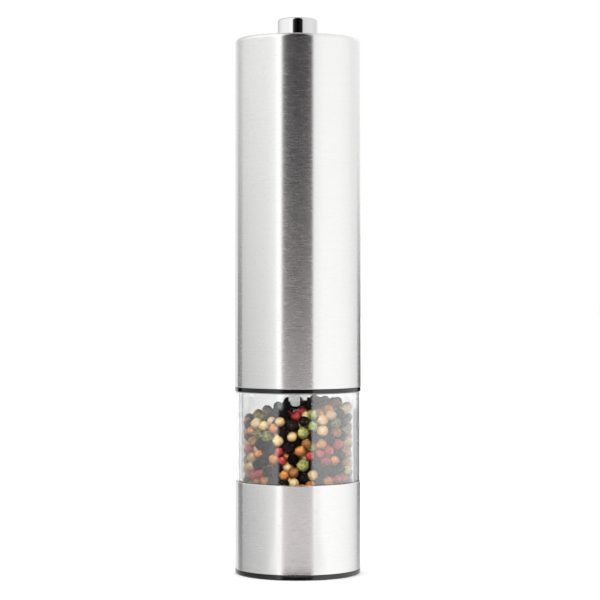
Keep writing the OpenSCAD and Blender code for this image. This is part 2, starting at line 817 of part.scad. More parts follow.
module battery_case() {
    slot_h = 0.7;
    low = z_case + case_floor_t;
    color("#242425") difference() {
        union() {
            rod(case_r, z_case, low);
            rod(case_r, z_cells_top - 4, z_cells_top - 2);
            at_cells() rod(cell_bore_r + cell_wall, low - over, z_cells_top - 2);
            rod(cell_at * sqrt(2) - cell_r, low - over, z_cells_top - 2);
        }
        at_cells() rod(cell_bore_r, low, z_cells_top);
        rod(screw_r + run, z_cells_top - 14, z_cells_top);
        for (a = [0, 180]) rotate([0, 0, a])
            translate([strip_x - sheet - face, -strip_slot / 2, z_case - over])
                cube([case_r, strip_slot, z_cap_top - z_case]);
        translate([cell_at - 4, -cell_at, low]) cube([8, cell_pitch, slot_h]);
        translate([-case_r - over, -strip_slot / 2, low]) cube([case_r, cell_at, slot_h]);
        translate([-cell_at, link_y, 0]) rod(link_r + face, z_case - over, low + over);
    }
}

module battery(n) {
    low = z_cells + (cell_up(n) ? contact_spring_l : 0);
    color(n % 2 == 1 ? "#3a3f46" : "#3f444b") translate(concat(cell_xy(n), low))
        translate([0, 0, cell_up(n) ? 0 : cell_l]) mirror([0, 0, cell_up(n) ? 0 : 1]) {
            cylinder(r = cell_r, h = cell_l - cell_nub_h);
            cylinder(r = cell_nub_r, h = cell_l);
        }
}

module battery_springs() {
    wire = 0.7;
    color("gainsboro") for (n = [1 : 4]) translate(concat(cell_xy(n), 0))
        if (cell_up(n)) coil(5.5, 3, z_cells, z_cells + contact_spring_l, 3, wire);
        else coil(3, 5.5, z_cells_top - contact_spring_l, z_cells_top, 3, wire);
}

// The stamped plate under one cell
module cell_plate(n) {
    plate = 10;
    translate(concat(cell_xy(n), z_case + case_floor_t)) translate([-plate / 2, -plate / 2, 0])
        cube([plate, plate, sheet]);
}

module lower_link() {
    color("gainsboro") {
        cell_plate(2);
        cell_plate(3);
        translate([cell_at - 3, -cell_at, z_case + case_floor_t]) cube([6, cell_pitch, sheet]);
    }
}

module upper_links() {
    color("gainsboro") for (y = [-cell_at, cell_at])
        translate([-cell_at - 5, y - 5, z_cells_top]) cube([cell_pitch + 10, 10, sheet]);
}

// From cell 1 through the case floor to the motor
module motor_link() {
    color("gainsboro") {
        cell_plate(1);
        translate([-cell_at, link_y, 0]) rod(link_r, z_terminal, z_case + case_floor_t + sheet);
        translate([-cell_at - link_r, link_y - link_r, z_terminal]) cube([2.4, 1 + link_r - link_y, sheet]);
    }
}

// A strip up the side of the case, in over the cap and up into a switch post
module strip(side, low) {
    rotate([0, 0, side]) {
        translate([strip_x - sheet, -strip_w / 2, low]) cube([sheet, strip_w, z_cap_top + sheet - low]);
        translate([post_x - post_r, -strip_w / 2, z_cap_top]) cube([strip_x - post_x + post_r, strip_w, sheet]);
        translate([post_x, 0, 0]) rod(post_r, z_cap_top, z_post);
    }
}

// From cell 4 to the first switch post
module post_strip() {
    low = z_case + case_floor_t;
    color("gainsboro") {
        cell_plate(4);
        translate([-strip_x, -strip_w / 2, low]) cube([strip_x - cell_at - 2, strip_w, sheet]);
        translate([-cell_at - 4, -strip_w / 2, low]) cube([4, cell_at, sheet]);
        strip(180, low);
    }
}

// From the second switch post to the motor
module motor_strip() {
    color("gainsboro") {
        strip(0, z_terminal);
        translate([terminal_x - 1, -strip_w / 2, z_terminal]) cube([strip_x - terminal_x + 1, strip_w, sheet]);
    }
}

module battery_cap() {
    color("#242425") difference() {
        rod(case_r, z_cap, z_cap_top);
        rod(screw_r + run, z_cap - over, z_cap_top + over);
        for (a = [0, 180]) rotate([0, 0, a])
            translate([strip_x - sheet - face, -strip_slot / 2, z_cap - over])
                cube([case_r, strip_slot, cap_t + 2 * over]);
    }
}

module cap_screw() {
    color("dimgray") translate([0, 0, z_cap_top]) mirror([0, 0, 1]) screw(14);
}

// Cover and button

module steel_cover() {
    inner_edge_r = max(cover_edge_r - cover_wall, 0.2);
    color("silver") turn(concat(
        [[cover_r - cover_wall, z_cover], [cover_r, z_cover]],
        arc(cover_top_r - cover_edge_r, z_cover_top - cover_edge_r, cover_edge_r, 0, 90),
        [[button_r + fit, z_cover_top], [button_r + fit, z_cover_under]],
        arc(cover_top_r - cover_wall - inner_edge_r, z_cover_under - inner_edge_r, inner_edge_r, 90, 0)
    ));
}

// The moulded cup under the cover that guides the button's stem
module button_cup() {
    disc_r = cover_top_r - cover_wall - cover_edge_r;
    disc_t = 1.4;
    color("#242425") turn([
        [stem_r + face, z_cup], [cup_r + cup_wall, z_cup], [cup_r + cup_wall, z_cover_under - disc_t],
        [disc_r, z_cover_under - disc_t], [disc_r, z_cover_under - run], [cup_r, z_cover_under - run],
        [cup_r, z_cup_floor], [stem_r + face, z_cup_floor]
    ]);
}

module button_spring() {
    color("gainsboro") coil(4.4, 4.4, z_cup_floor, z_button_top - button_roof_t - face, 7, 0.7);
}

module push_button() {
    wide = button_r + flange_grip;
    hollow = button_r - button_wall;
    color("gainsboro") turn(concat(
        [[0, z_stem], [stem_r, z_stem], [stem_r, z_button_top - button_roof_t],
         [hollow, z_button_top - button_roof_t], [hollow, z_button_flange], [wide, z_button_flange],
         [wide, z_button_flange + button_flange_h], [button_r, z_button_flange + button_flange_h]],
        arc(button_r - button_edge_r, z_button_top - button_edge_r, button_edge_r, 0, 90),
        [[0, z_button_top]]
    ));
}

module contact_bridge() {
    color("#c8a552") rod(bridge_r, z_bridge, z_stem);
}

// Assembly

foot_ring();
lower_sleeve();
grinder_housing();
outer_burr();
hopper();
hopper_seal();
shaft_bush();
peppercorns();
foot_screws();
drive_shaft();
shaft_clip();
burr_spring();
inner_burr();
adjuster_knob();
adjuster_nut();
chassis();
gearbox_cover();
gearbox_housing();
output_bush();
gearbox_screws();
output_carrier();
drive_coupling();
planet(z_planet2, 0);  // output_planet_1
planet(z_planet2, 120);  // output_planet_2
planet(z_planet2, 240);  // output_planet_3
middle_carrier();
planet(z_planet1, 0);  // motor_planet_1
planet(z_planet1, 120);  // motor_planet_2
planet(z_planet1, 240);  // motor_planet_3
motor_can();
motor_end_cap();
motor_magnets();
motor_brushes();
motor_terminals();
motor_screws();
motor_core();
motor_coils();
motor_shaft();
commutator();
sun_pinion();
battery_case();
battery(1);  // battery_1
battery(2);  // battery_2
battery(3);  // battery_3
battery(4);  // battery_4
battery_springs();
lower_link();
upper_links();
motor_link();
post_strip();
motor_strip();
battery_cap();
cap_screw();
steel_cover();
button_cup();
button_spring();
push_button();
contact_bridge();
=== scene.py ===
import math

import bmesh
import bpy
import numpy as np
from mathutils import Matrix, Vector


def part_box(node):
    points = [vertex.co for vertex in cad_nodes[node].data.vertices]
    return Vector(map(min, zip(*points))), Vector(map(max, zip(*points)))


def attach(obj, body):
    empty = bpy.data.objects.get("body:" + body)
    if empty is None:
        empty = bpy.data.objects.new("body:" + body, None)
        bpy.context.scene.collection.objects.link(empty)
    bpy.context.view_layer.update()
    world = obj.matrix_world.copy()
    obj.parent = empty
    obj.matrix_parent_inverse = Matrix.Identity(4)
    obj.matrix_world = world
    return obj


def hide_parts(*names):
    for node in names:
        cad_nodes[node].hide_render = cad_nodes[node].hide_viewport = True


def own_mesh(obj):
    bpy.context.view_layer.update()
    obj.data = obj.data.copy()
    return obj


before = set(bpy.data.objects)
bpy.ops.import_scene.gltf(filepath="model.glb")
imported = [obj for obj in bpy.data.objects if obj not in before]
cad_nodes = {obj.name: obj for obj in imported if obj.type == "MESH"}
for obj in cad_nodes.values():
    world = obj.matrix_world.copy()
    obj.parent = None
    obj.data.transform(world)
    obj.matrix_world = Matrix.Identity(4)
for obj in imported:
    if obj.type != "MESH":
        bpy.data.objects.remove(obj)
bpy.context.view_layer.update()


# Foot ring: the black band that the mill stands on, a moulding with a fine eroded texture.
# It is clipped into the lower sleeve and holds the grinder with three screws from below.

mm = 0.001


def dress(material, *nodes):
    """Gives CAD nodes whose shape is right a finish."""
    for node in nodes:
        cad_nodes[node].data.materials.clear()
        cad_nodes[node].data.materials.append(material)


def feed(tree, node, *first_values, **named_values):
    """Sets a node's inputs, the first ones in order and others by name, or links them from sockets.
    Spaces in names are written as underscores."""
    inputs = list(zip(node.inputs, first_values))
    for title, value in named_values.items():
        inputs.append((node.inputs[title.replace("_", " ")], value))
    for socket, value in inputs:
        if isinstance(value, bpy.types.NodeSocket):
            tree.links.new(value, socket)
        else:
            socket.default_value = value


def node_in(tree, kind, *first_values, **values):
    """A new node in a tree. Names in small letters are its settings, and others its inputs."""
    node = tree.nodes.new(kind)
    for title in [title for title in values if title.islower()]:
        setattr(node, title, values.pop(title))
    feed(tree, node, *first_values, **values)
    return node


def math_node(tree, operation, first, second):
    """The result of a math node whose two inputs are sockets or numbers."""
    return node_in(tree, "ShaderNodeMath", first, second, operation=operation).outputs[0]


def evened(tree, noise):
    """A noise node's value, moved to lie evenly about nought."""
    return math_node(tree, "SUBTRACT", noise.outputs["Fac"], 0.5)


def sized_place(tree, size):
    """The place on a piece in steps of a size, for a pattern of that size."""
    place = tree.nodes.new("ShaderNodeTexCoord").outputs["Object"]
    return node_in(tree, "ShaderNodeVectorMath", place, operation="SCALE",
                   Scale=math_node(tree, "DIVIDE", 1, size)).outputs["Vector"]


def surface_effect(name, inputs, outputs):
    """An empty shader group, with the sockets that its named inputs give and the node for its outputs."""
    group = bpy.data.node_groups.new(name, "ShaderNodeTree")
    kinds = {"colour": "NodeSocketColor", "value": "NodeSocketFloat", "vector": "NodeSocketVector"}
    for title, kind in inputs:
        group.interface.new_socket(title, in_out="INPUT", socket_type=kinds[kind])
    for title, kind in outputs:
        group.interface.new_socket(title, in_out="OUTPUT", socket_type=kinds[kind])
    return group, group.nodes.new("NodeGroupInput").outputs, group.nodes.new("NodeGroupOutput")


def place_effect(tree, group, **values):
    """Places a shader group in a material with its own values, and gives its outputs."""
    return node_in(tree, "ShaderNodeGroup", node_tree=group, **values).outputs


def bump_from(tree, height, strength, distance):
    """Raises a material's surface by a pattern."""
    bump = node_in(tree, "ShaderNodeBump", Height=height, Strength=strength, Distance=distance)
    feed(tree, tree.nodes["Principled BSDF"], Normal=bump.outputs["Normal"])


def new_finish(name, colour=(0.8, 0.8, 0.8)):
    """A new material, its node tree and its shader."""
    material = bpy.data.materials.new(name)
    material.use_nodes = True
    material.diffuse_color = (*colour, 1)
    return material, material.node_tree, material.node_tree.nodes["Principled BSDF"]


# the fine texture that spark erosion leaves in a mould, as shade, gloss and height
moulded_grain, grain_in, grain_out = surface_effect(
    "moulded_grain",
    [("Colour", "colour"), ("Roughness", "value"), ("Grain Size", "value"), ("Contrast", "value")],
    [("Colour", "colour"), ("Roughness", "value"), ("Height", "value")])
grain_gloss = 0.18
grain_place = sized_place(moulded_grain, grain_in["Grain Size"])
grain_noise = node_in(moulded_grain, "ShaderNodeTexNoise", Vector=grain_place, Scale=1, Detail=3)
grain_flow = node_in(moulded_grain, "ShaderNodeTexNoise", Vector=grain_place, Scale=0.03)
grain_mix = math_node(moulded_grain, "ADD", evened(moulded_grain, grain_noise),
                      evened(moulded_grain, grain_flow))
grain_change = math_node(moulded_grain, "MULTIPLY", grain_mix, grain_in["Contrast"])
grain_shade = node_in(moulded_grain, "ShaderNodeHueSaturation", Color=grain_in["Colour"],
                      Value=math_node(moulded_grain, "ADD", grain_change, 1))
feed(moulded_grain, grain_out, Colour=grain_shade.outputs["Color"], Height=grain_noise.outputs["Fac"],
     Roughness=math_node(moulded_grain, "ADD", grain_in["Roughness"],
                         math_node(moulded_grain, "MULTIPLY", grain_mix, grain_gloss)))


def moulded(name, colour, roughness, grain=0.3 * mm, contrast=0.5, depth=0.012 * mm):
    """A moulded plastic with its mould's texture."""
    material, tree, shader = new_finish(name, colour)
    texture = place_effect(tree, moulded_grain, Colour=(*colour, 1), Roughness=roughness,
                           Grain_Size=grain, Contrast=contrast)
    feed(tree, shader, Base_Color=texture["Colour"], Roughness=texture["Roughness"])
    bump_from(tree, texture["Height"], strength=0.6, distance=depth)
    return material


black_moulding = moulded("black_moulding", (0.003, 0.003, 0.0033), 0.15, depth=0.004 * mm)
dress(black_moulding, "foot_ring")


# Foot screws: three zinc-plated pan heads in the foot ring, which pull the grinder housing down.
# The same bright zinc is on the gearbox, motor and cap screws and on the shaft's clip.

def colour_mix(tree, share, first, second):
    """A mix of two colours, from the first to the second as the share goes up to one."""
    mix = node_in(tree, "ShaderNodeMix", data_type="RGBA", Factor=share, A=first, B=second)
    return mix.outputs["Result"]


# dull patches and handling marks on plated metal
tarnish, tarnish_in, tarnish_out = surface_effect(
    "tarnish",
    [("Colour", "colour"), ("Stain", "colour"), ("Patch Size", "value"), ("Amount", "value"),
     ("Roughness", "value")],
    [("Colour", "colour"), ("Roughness", "value"), ("Height", "value")])
tarnish_gloss = 0.35
tarnish_place = sized_place(tarnish, tarnish_in["Patch Size"])
tarnish_patch = node_in(tarnish, "ShaderNodeTexNoise", Vector=tarnish_place, Scale=1, Detail=5)
tarnish_scratch = node_in(tarnish, "ShaderNodeTexNoise", Vector=tarnish_place, Scale=9, Detail=2)
tarnish_mask = math_node(tarnish, "MULTIPLY", tarnish_patch.outputs["Fac"], tarnish_in["Amount"])
feed(tarnish, tarnish_out, Height=tarnish_scratch.outputs["Fac"],
     Colour=colour_mix(tarnish, tarnish_mask, tarnish_in["Colour"], tarnish_in["Stain"]),
     Roughness=math_node(tarnish, "ADD", tarnish_in["Roughness"],
                         math_node(tarnish, "MULTIPLY", tarnish_mask, tarnish_gloss)))


def plated(name, colour, stain, roughness, patch=2.5 * mm, amount=0.5, metallic=1.0, scratches=0.25):
    """A bare or plated metal with dull patches."""
    material, tree, shader = new_finish(name, colour)
    marks = place_effect(tree, tarnish, Colour=(*colour, 1), Stain=(*stain, 1), Patch_Size=patch,
                         Amount=amount, Roughness=roughness)
    feed(tree, shader, Metallic=metallic, Base_Color=marks["Colour"], Roughness=marks["Roughness"])
    bump_from(tree, marks["Height"], strength=scratches, distance=0.006 * mm)
    return material


zinc_plate = plated("zinc_plate", (0.62, 0.63, 0.65), (0.42, 0.42, 0.40), 0.28)
dress(zinc_plate, "foot_screws", "gearbox_screws", "motor_screws", "cap_screw", "shaft_clip")


# Grinder housing and shaft bush: the black moulded funnel that feeds the burrs, clipped inside the
# sleeve, with a sintered bronze bush pressed in its spider.

bronze = plated("sintered_bronze", (0.42, 0.27, 0.12), (0.24, 0.15, 0.07), 0.38, patch=0.6 * mm)
dress(black_moulding, "grinder_housing")
dress(bronze, "shaft_bush", "output_bush")


# Burrs: the fixed ring and the turning cone, pressed and fired in white ceramic.
# The ring is glued in the housing, and the cone rides on the square shaft.

ceramic = moulded("fired_ceramic", (0.82, 0.80, 0.75), 0.36, grain=0.5 * mm, contrast=0.12, depth=0.02 * mm)
feed(ceramic.node_tree, ceramic.node_tree.nodes["Principled BSDF"], Subsurface_Weight=0.05)
dress(ceramic, "outer_burr", "inner_burr")


# Adjuster: a fluted black knob under the cone, with a hexagonal brass nut moulded in.
# It runs on the shaft's threaded end.

brass = plated("drawn_brass", (0.72, 0.52, 0.22), (0.45, 0.30, 0.12), 0.24)
dress(black_moulding, "adjuster_knob")
dress(brass, "adjuster_nut")


# Lower sleeve: a tube of stainless steel over the grinder, brushed round its axis and hemmed at
# both edges. It is pushed onto the housing from below and carries a faint film of handling marks.

def rounded(corners, steps=5):
    """A closed outline from (radius, height, corner radius) corners, each corner an arc."""
    outline = []
    beside = 0.05 * mm
    for before, here, after in zip(corners[-1:] + corners[:-1], corners, corners[1:] + corners[:1]):
        corner = Vector(here[:2])
        if not here[2]:
            outline.append(corner)
            continue
        back = (Vector(before[:2]) - corner).normalized()
        on = (Vector(after[:2]) - corner).normalized()
        half = back.angle(on) / 2
        centre = corner + (back + on).normalized() * here[2] / math.sin(half)
        first = corner + back * here[2] / math.tan(half) - centre
        last = corner + on * here[2] / math.tan(half) - centre
        sweep = math.atan2(first.cross(last), first.dot(last))
        outline.append(centre + first + back * beside)
        for step in range(steps + 1):
            turn = sweep * step / steps
            outline.append(centre + Vector((
                first.x * math.cos(turn) - first.y * math.sin(turn),
                first.x * math.sin(turn) + first.y * math.cos(turn))))
        outline.append(centre + last + on * beside)
    return outline


def plain_mesh(name, build):
    """An object whose merged mesh has its faces outwards and its sharp edges kept."""
    same_place = 1e-7
    sharp_edge = math.radians(38)
    bmesh.ops.remove_doubles(build, verts=build.verts, dist=same_place)
    bmesh.ops.recalc_face_normals(build, faces=build.faces)
    mesh = bpy.data.meshes.new(name)
    build.to_mesh(mesh)
    build.free()
    mesh.shade_smooth()
    mesh.set_sharp_from_angle(angle=sharp_edge)
    made = bpy.data.objects.new(name, mesh)
    bpy.context.scene.collection.objects.link(made)
    return made


def turn_outline(build, outline, segments, centre=(0, 0)):
    """Spins a closed outline of (radius, height) points round an upright axis."""
    on_axis = 1e-9
    rings = []
    for step in range(segments):
        angle = 2 * math.pi * step / segments
        rings.append([build.verts.new((centre[0] + r * math.cos(angle), centre[1] + r * math.sin(angle), z))
                      for r, z in outline])
    for ring, beside in zip(rings, rings[1:] + rings[:1]):
        for k in range(len(outline)):
            after = (k + 1) % len(outline)
            if outline[k][0] < on_axis and outline[after][0] < on_axis:
                continue
            corners = [ring[k], beside[k], beside[after], ring[after]]
            if outline[k][0] < on_axis:
                corners = [ring[k], beside[after], ring[after]]
            elif outline[after][0] < on_axis:
                corners = [ring[k], beside[k], ring[after]]
            build.faces.new(corners)


def turned(name, outline, segments):
    """A piece turned round the mill's own axis."""
    build = bmesh.new()
    turn_outline(build, outline, segments)
    return plain_mesh(name, build)


def stands_for(made, body, material, *nodes):
    """Gives a finished piece its body and, if it has none yet, its material, and hides the CAD nodes that
    it stands for.
    """
    if not made.data.materials:
        made.data.materials.append(material)
    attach(made, body)
    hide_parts(*nodes)


# lines that a brush leaves on metal: long in one direction, fine in the other, with short nicks
brush_lines, brush_in, brush_out = surface_effect(
    "brush_lines",
    [("Colour", "colour"), ("Roughness", "value"), ("Line Size", "vector"), ("Contrast", "value")],
    [("Colour", "colour"), ("Roughness", "value"), ("Height", "value")])
nick_size = (3.2 * mm, 3.2 * mm, 0.45 * mm)
nick_gloss = 0.13
line_gloss = 0.3
film_gloss = 0.03
brush_place = brush_lines.nodes.new("ShaderNodeTexCoord").outputs["Object"]
line_place = node_in(brush_lines, "ShaderNodeVectorMath", brush_place, brush_in["Line Size"],
                     operation="DIVIDE")
nick_place = node_in(brush_lines, "ShaderNodeVectorMath", brush_place, nick_size, operation="DIVIDE")
brush_fine = node_in(brush_lines, "ShaderNodeTexNoise", Vector=line_place.outputs["Vector"], Scale=1,
                     Detail=4, Roughness=0.7)
brush_nicks = node_in(brush_lines, "ShaderNodeTexNoise", Vector=nick_place.outputs["Vector"], Scale=1,
                      Detail=2)
brush_film = node_in(brush_lines, "ShaderNodeTexNoise", Vector=brush_place, Scale=45, Detail=3)
brush_change = math_node(brush_lines, "MULTIPLY", evened(brush_lines, brush_fine), brush_in["Contrast"])
brush_shade = node_in(brush_lines, "ShaderNodeHueSaturation", Color=brush_in["Colour"],
                      Value=math_node(brush_lines, "ADD", brush_change, 1))
brush_gloss = brush_in["Roughness"]
for change, share in ((evened(brush_lines, brush_nicks), nick_gloss), (brush_change, line_gloss),
                      (evened(brush_lines, brush_film), film_gloss)):
    brush_gloss = math_node(brush_lines, "ADD", brush_gloss,
                            math_node(brush_lines, "MULTIPLY", change, share))
feed(brush_lines, brush_out, Colour=brush_shade.outputs["Color"], Roughness=brush_gloss,
     Height=brush_fine.outputs["Fac"])


def brushed(name, colour, roughness, line_size, contrast, spread=0.0):
    """Brushed metal. Its highlights may spread across lines that run round the mill's axis."""
    material, tree, shader = new_finish(name, colour)
    lines = place_effect(tree, brush_lines, Colour=(*colour, 1), Roughness=roughness,
                         Line_Size=line_size, Contrast=contrast)
    feed(tree, shader, Metallic=1, Base_Color=lines["Colour"], Roughness=lines["Roughness"])
    bump_from(tree, lines["Height"], strength=0.5, distance=0.002 * mm)
    if spread:
        around_axis = node_in(tree, "ShaderNodeTangent", direction_type="RADIAL", axis="Z")
        quarter_turn = 0.25
        feed(tree, shader, Anisotropic=spread, Anisotropic_Rotation=quarter_turn,
             Tangent=around_axis.outputs["Tangent"])
    return material


round_lines = (22 * mm, 22 * mm, 0.3 * mm)
brushed_steel = brushed("brushed_steel", (0.605, 0.603, 0.60), 0.25, round_lines, 0.1, spread=1.0)
sleeve_low, sleeve_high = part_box("lower_sleeve")
sleeve_r = sleeve_high.x
sleeve_wall = 0.7 * mm
sleeve_edge = 0.18 * mm
shell_segments = 256
lower_sleeve = turned("lower_sleeve_shell", rounded([
    (sleeve_r, sleeve_low.z, sleeve_edge), (sleeve_r, sleeve_high.z, sleeve_edge),
    (sleeve_r - sleeve_wall, sleeve_high.z, 0), (sleeve_r - sleeve_wall, sleeve_low.z, 0)]), shell_segments)
stands_for(lower_sleeve, "base", brushed_steel, "lower_sleeve")


# Drive shaft: a square drawn steel bar up the middle of the hopper, turned round where it runs in
# its bush and threaded at the foot. A clip and a small coil spring hold the burr's height.

drawn_lines = (0.25 * mm, 0.25 * mm, 20 * mm)
drawn_steel = brushed("drawn_steel", (0.66, 0.66, 0.65), 0.26, drawn_lines, 0.25)
dress(drawn_steel, "drive_shaft", "motor_shaft")


def tree_with(name, inputs):
    """An empty Geometry Nodes tree, its inputs' identifiers, the sockets that they give, and its end."""
    tree = bpy.data.node_groups.new(name, "GeometryNodeTree")
    tree.interface.new_socket("Geometry", in_out="INPUT", socket_type="NodeSocketGeometry")
    tree.interface.new_socket("Geometry", in_out="OUTPUT", socket_type="NodeSocketGeometry")
    sockets = {}
    for title, kind in inputs:
        sockets[title] = tree.interface.new_socket(title, in_out="INPUT", socket_type=kind).identifier
    return tree, sockets, tree.nodes.new("NodeGroupInput").outputs, tree.nodes.new("NodeGroupOutput")


def grown(name, tree, sockets, start, **values):
    """Runs a tree on a starting mesh and keeps the result as a plain mesh."""
    seed_object = bpy.data.objects.new(name, start)
    bpy.context.scene.collection.objects.link(seed_object)
    grow = seed_object.modifiers.new("grow", "NODES")
    grow.node_group = tree
    for title, value in values.items():
        grow[sockets[title.replace("_", " ")]] = value
    settled = bpy.context.evaluated_depsgraph_get()
    mesh = bpy.data.meshes.new_from_object(seed_object.evaluated_get(settled), depsgraph=settled)
    mesh.name = name
    seed_object.modifiers.remove(grow)
    seed_object.data = mesh
    bpy.data.meshes.remove(start)
    return seed_object


# a coil of round wire with closed end turns
coil_tree, coil_sockets, coil_in, coil_out = tree_with("wire_coil", [
    ("Low Radius", "NodeSocketFloat"), ("High Radius", "NodeSocketFloat"), ("Low", "NodeSocketFloat"),
    ("Height", "NodeSocketFloat"), ("Turns", "NodeSocketFloat"), ("Wire", "NodeSocketFloat"),
    ("Closed End", "NodeSocketFloat"), ("Finish", "NodeSocketMaterial")])
coil_line = node_in(coil_tree, "GeometryNodeCurveSpiral", Resolution=28, Reverse=False,
                    Rotations=coil_in["Turns"], Start_Radius=coil_in["Low Radius"],
                    End_Radius=coil_in["High Radius"])
coil_along = coil_tree.nodes.new("GeometryNodeSplineParameter")
coil_rise = node_in(coil_tree, "ShaderNodeMapRange", Value=coil_along.outputs["Factor"],
                    From_Min=coil_in["Closed End"],
                    From_Max=math_node(coil_tree, "SUBTRACT", 1, coil_in["Closed End"]))
coil_wire_r = math_node(coil_tree, "MULTIPLY", coil_in["Wire"], 0.5)
coil_base = math_node(coil_tree, "ADD", coil_in["Low"], coil_wire_r)
coil_span = math_node(coil_tree, "SUBTRACT", coil_in["Height"], coil_in["Wire"])
coil_climb = math_node(coil_tree, "MULTIPLY", coil_rise.outputs["Result"], coil_span)
coil_flat = node_in(coil_tree, "ShaderNodeSeparateXYZ",
                    coil_tree.nodes.new("GeometryNodeInputPosition").outputs["Position"])
coil_place = node_in(coil_tree, "ShaderNodeCombineXYZ", coil_flat.outputs["X"], coil_flat.outputs["Y"],
                     math_node(coil_tree, "ADD", coil_base, coil_climb))
coil_path = node_in(coil_tree, "GeometryNodeSetPosition", Geometry=coil_line.outputs["Curve"],
                    Position=coil_place.outputs["Vector"])
coil_ring = node_in(coil_tree, "GeometryNodeCurvePrimitiveCircle", Resolution=10, Radius=coil_wire_r)
coil_skin = node_in(coil_tree, "GeometryNodeCurveToMesh", Curve=coil_path.outputs["Geometry"],
                    Profile_Curve=coil_ring.outputs["Curve"], Fill_Caps=True)
coil_real = node_in(coil_tree, "GeometryNodeRealizeInstances", coil_skin.outputs["Mesh"])
coil_finish = node_in(coil_tree, "GeometryNodeSetMaterial", Geometry=coil_real.outputs["Geometry"],
                      Material=coil_in["Finish"])
feed(coil_tree, coil_out, Geometry=coil_finish.outputs["Geometry"])


def wound(name, low, height, low_r, high_r, turns, wire, finish, at=(0, 0)):
    """A coil spring on an upright axis, with three quarters of a turn closed at each end."""
    closed_turn = 0.75
    made = grown(name, coil_tree, coil_sockets, bpy.data.meshes.new(name + "_start"),
                 Low_Radius=low_r, High_Radius=high_r, Low=low, Height=height, Turns=float(turns),
                 Wire=wire, Closed_End=closed_turn / turns, Finish=finish)
    made.data.transform(Matrix.Translation((*at, 0)))
    made.data.shade_smooth()
    return made


spring_steel = plated("spring_steel", (0.70, 0.70, 0.69), (0.50, 0.50, 0.48), 0.22, patch=1.5 * mm)
burr_low, burr_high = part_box("burr_spring")
burr_wire = 0.6 * mm
burr_turns = 4.5
burr_spring_r = burr_high.x - burr_wire / 2
burr_spring = wound("burr_spring_coil", burr_low.z, burr_high.z - burr_low.z, burr_spring_r, burr_spring_r,
                    burr_turns, burr_wire, spring_steel)
stands_for(burr_spring, "shaft", spring_steel, "burr_spring")
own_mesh(burr_spring)


# Hopper: a clear acrylic tube, moulded thick, that shows the corns. Its spigot is bonded inside the
# lower sleeve, and the motor unit sits on its shoulder.

acrylic, acrylic_tree, acrylic_shader = new_finish("clear_acrylic")
feed(acrylic_tree, acrylic_shader, Base_Color=(0.985, 0.99, 0.99, 1), Roughness=0, IOR=1.49,
     Transmission_Weight=1, Coat_Weight=1, Coat_IOR=1.5, Coat_Roughness=0)
acrylic_ray = acrylic_tree.nodes.new("ShaderNodeLightPath")
acrylic_shade = node_in(acrylic_tree, "ShaderNodeBsdfTransparent", Color=(0.93, 0.94, 0.94, 1))
acrylic_mix = node_in(acrylic_tree, "ShaderNodeMixShader", acrylic_ray.outputs["Is Shadow Ray"],
                      acrylic_shader.outputs["BSDF"], acrylic_shade.outputs["BSDF"])
feed(acrylic_tree, acrylic_tree.nodes["Material Output"], Surface=acrylic_mix.outputs["Shader"])

hopper_low, hopper_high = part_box("hopper")
hopper_r = hopper_high.x
hopper_ir = 22.1 * mm
spigot_r = 24.15 * mm
neck_r = 22.9 * mm
neck_ir = 21.1 * mm
shoulder_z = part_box("hopper_seal")[0].z
slope_z = shoulder_z + 0.6 * mm
hopper_base_z = sleeve_high.z + 0.05 * mm
spigot_edge = 0.2 * mm
spigot_root = 0.1 * mm
base_edge = 0.06 * mm
shoulder_edge = 0.12 * mm
neck_root = 0.15 * mm
lip_edge = 0.4 * mm
slope_edge = 0.3 * mm
slope_root = 0.4 * mm
hopper = turned("hopper_tube", rounded([
    (spigot_r, hopper_low.z, spigot_edge), (spigot_r, hopper_base_z, spigot_root),
    (hopper_r, hopper_base_z, base_edge), (hopper_r, shoulder_z, shoulder_edge),
    (neck_r, shoulder_z, neck_root), (neck_r, hopper_high.z, lip_edge),
    (neck_ir, hopper_high.z, lip_edge), (neck_ir, slope_z + hopper_ir - neck_ir, slope_edge),
    (hopper_ir, slope_z, slope_root), (hopper_ir, hopper_low.z, spigot_edge)]), shell_segments)
stands_for(hopper, "base", acrylic, "hopper")


# Seal: a thin grey silicone ring on the hopper's shoulder, the pale line under the black flange.
# It lies loose round the neck.

silicone = moulded("grey_silicone", (0.40, 0.41, 0.42), 0.55, grain=0.2 * mm, contrast=0.2)
dress(silicone, "hopper_seal")


# Peppercorns: about nine hundred loose corns of five kinds, dried black, green, red, tan and cream.
# They are poured in from the top and lie higher on one side, round the drive shaft.

fill_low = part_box("peppercorns")[0].z
fill_kinds = {
    # name: share, smallest and largest radius, lump depth, lump size
    "black_corns": (0.30, 2.05 * mm, 2.65 * mm, 0.45 * mm, 1.6 * mm),
    "cream_corns": (0.25, 1.85 * mm, 2.25 * mm, 0.06 * mm, 2.2 * mm),
    "tan_corns": (0.23, 1.80 * mm, 2.25 * mm, 0.14 * mm, 2.0 * mm),
    "red_corns": (0.11, 1.95 * mm, 2.45 * mm, 0.75 * mm, 2.2 * mm),
    "green_corns": (0.11, 2.10 * mm, 2.70 * mm, 0.90 * mm, 1.8 * mm)}
pour = np.random.default_rng(55)
fill_count = 1000
fill_wall = hopper_ir - 0.15 * mm
fill_core = 4.1 * mm
pour_in, pour_out = 7 * mm, 19 * mm
pour_low, pour_high = fill_low + 3 * mm, fill_low + 90 * mm
fill_kind = pour.choice(len(fill_kinds), fill_count, p=[kind[0] for kind in fill_kinds.values()])
fill_spans = np.array([kind[1:3] for kind in fill_kinds.values()])[fill_kind]
fill_r = pour.uniform(fill_spans[:, 0], fill_spans[:, 1])
fill_angle = pour.uniform(0, 2 * np.pi, fill_count)
fill_out = np.sqrt(pour.uniform(pour_in ** 2, pour_out ** 2, fill_count))
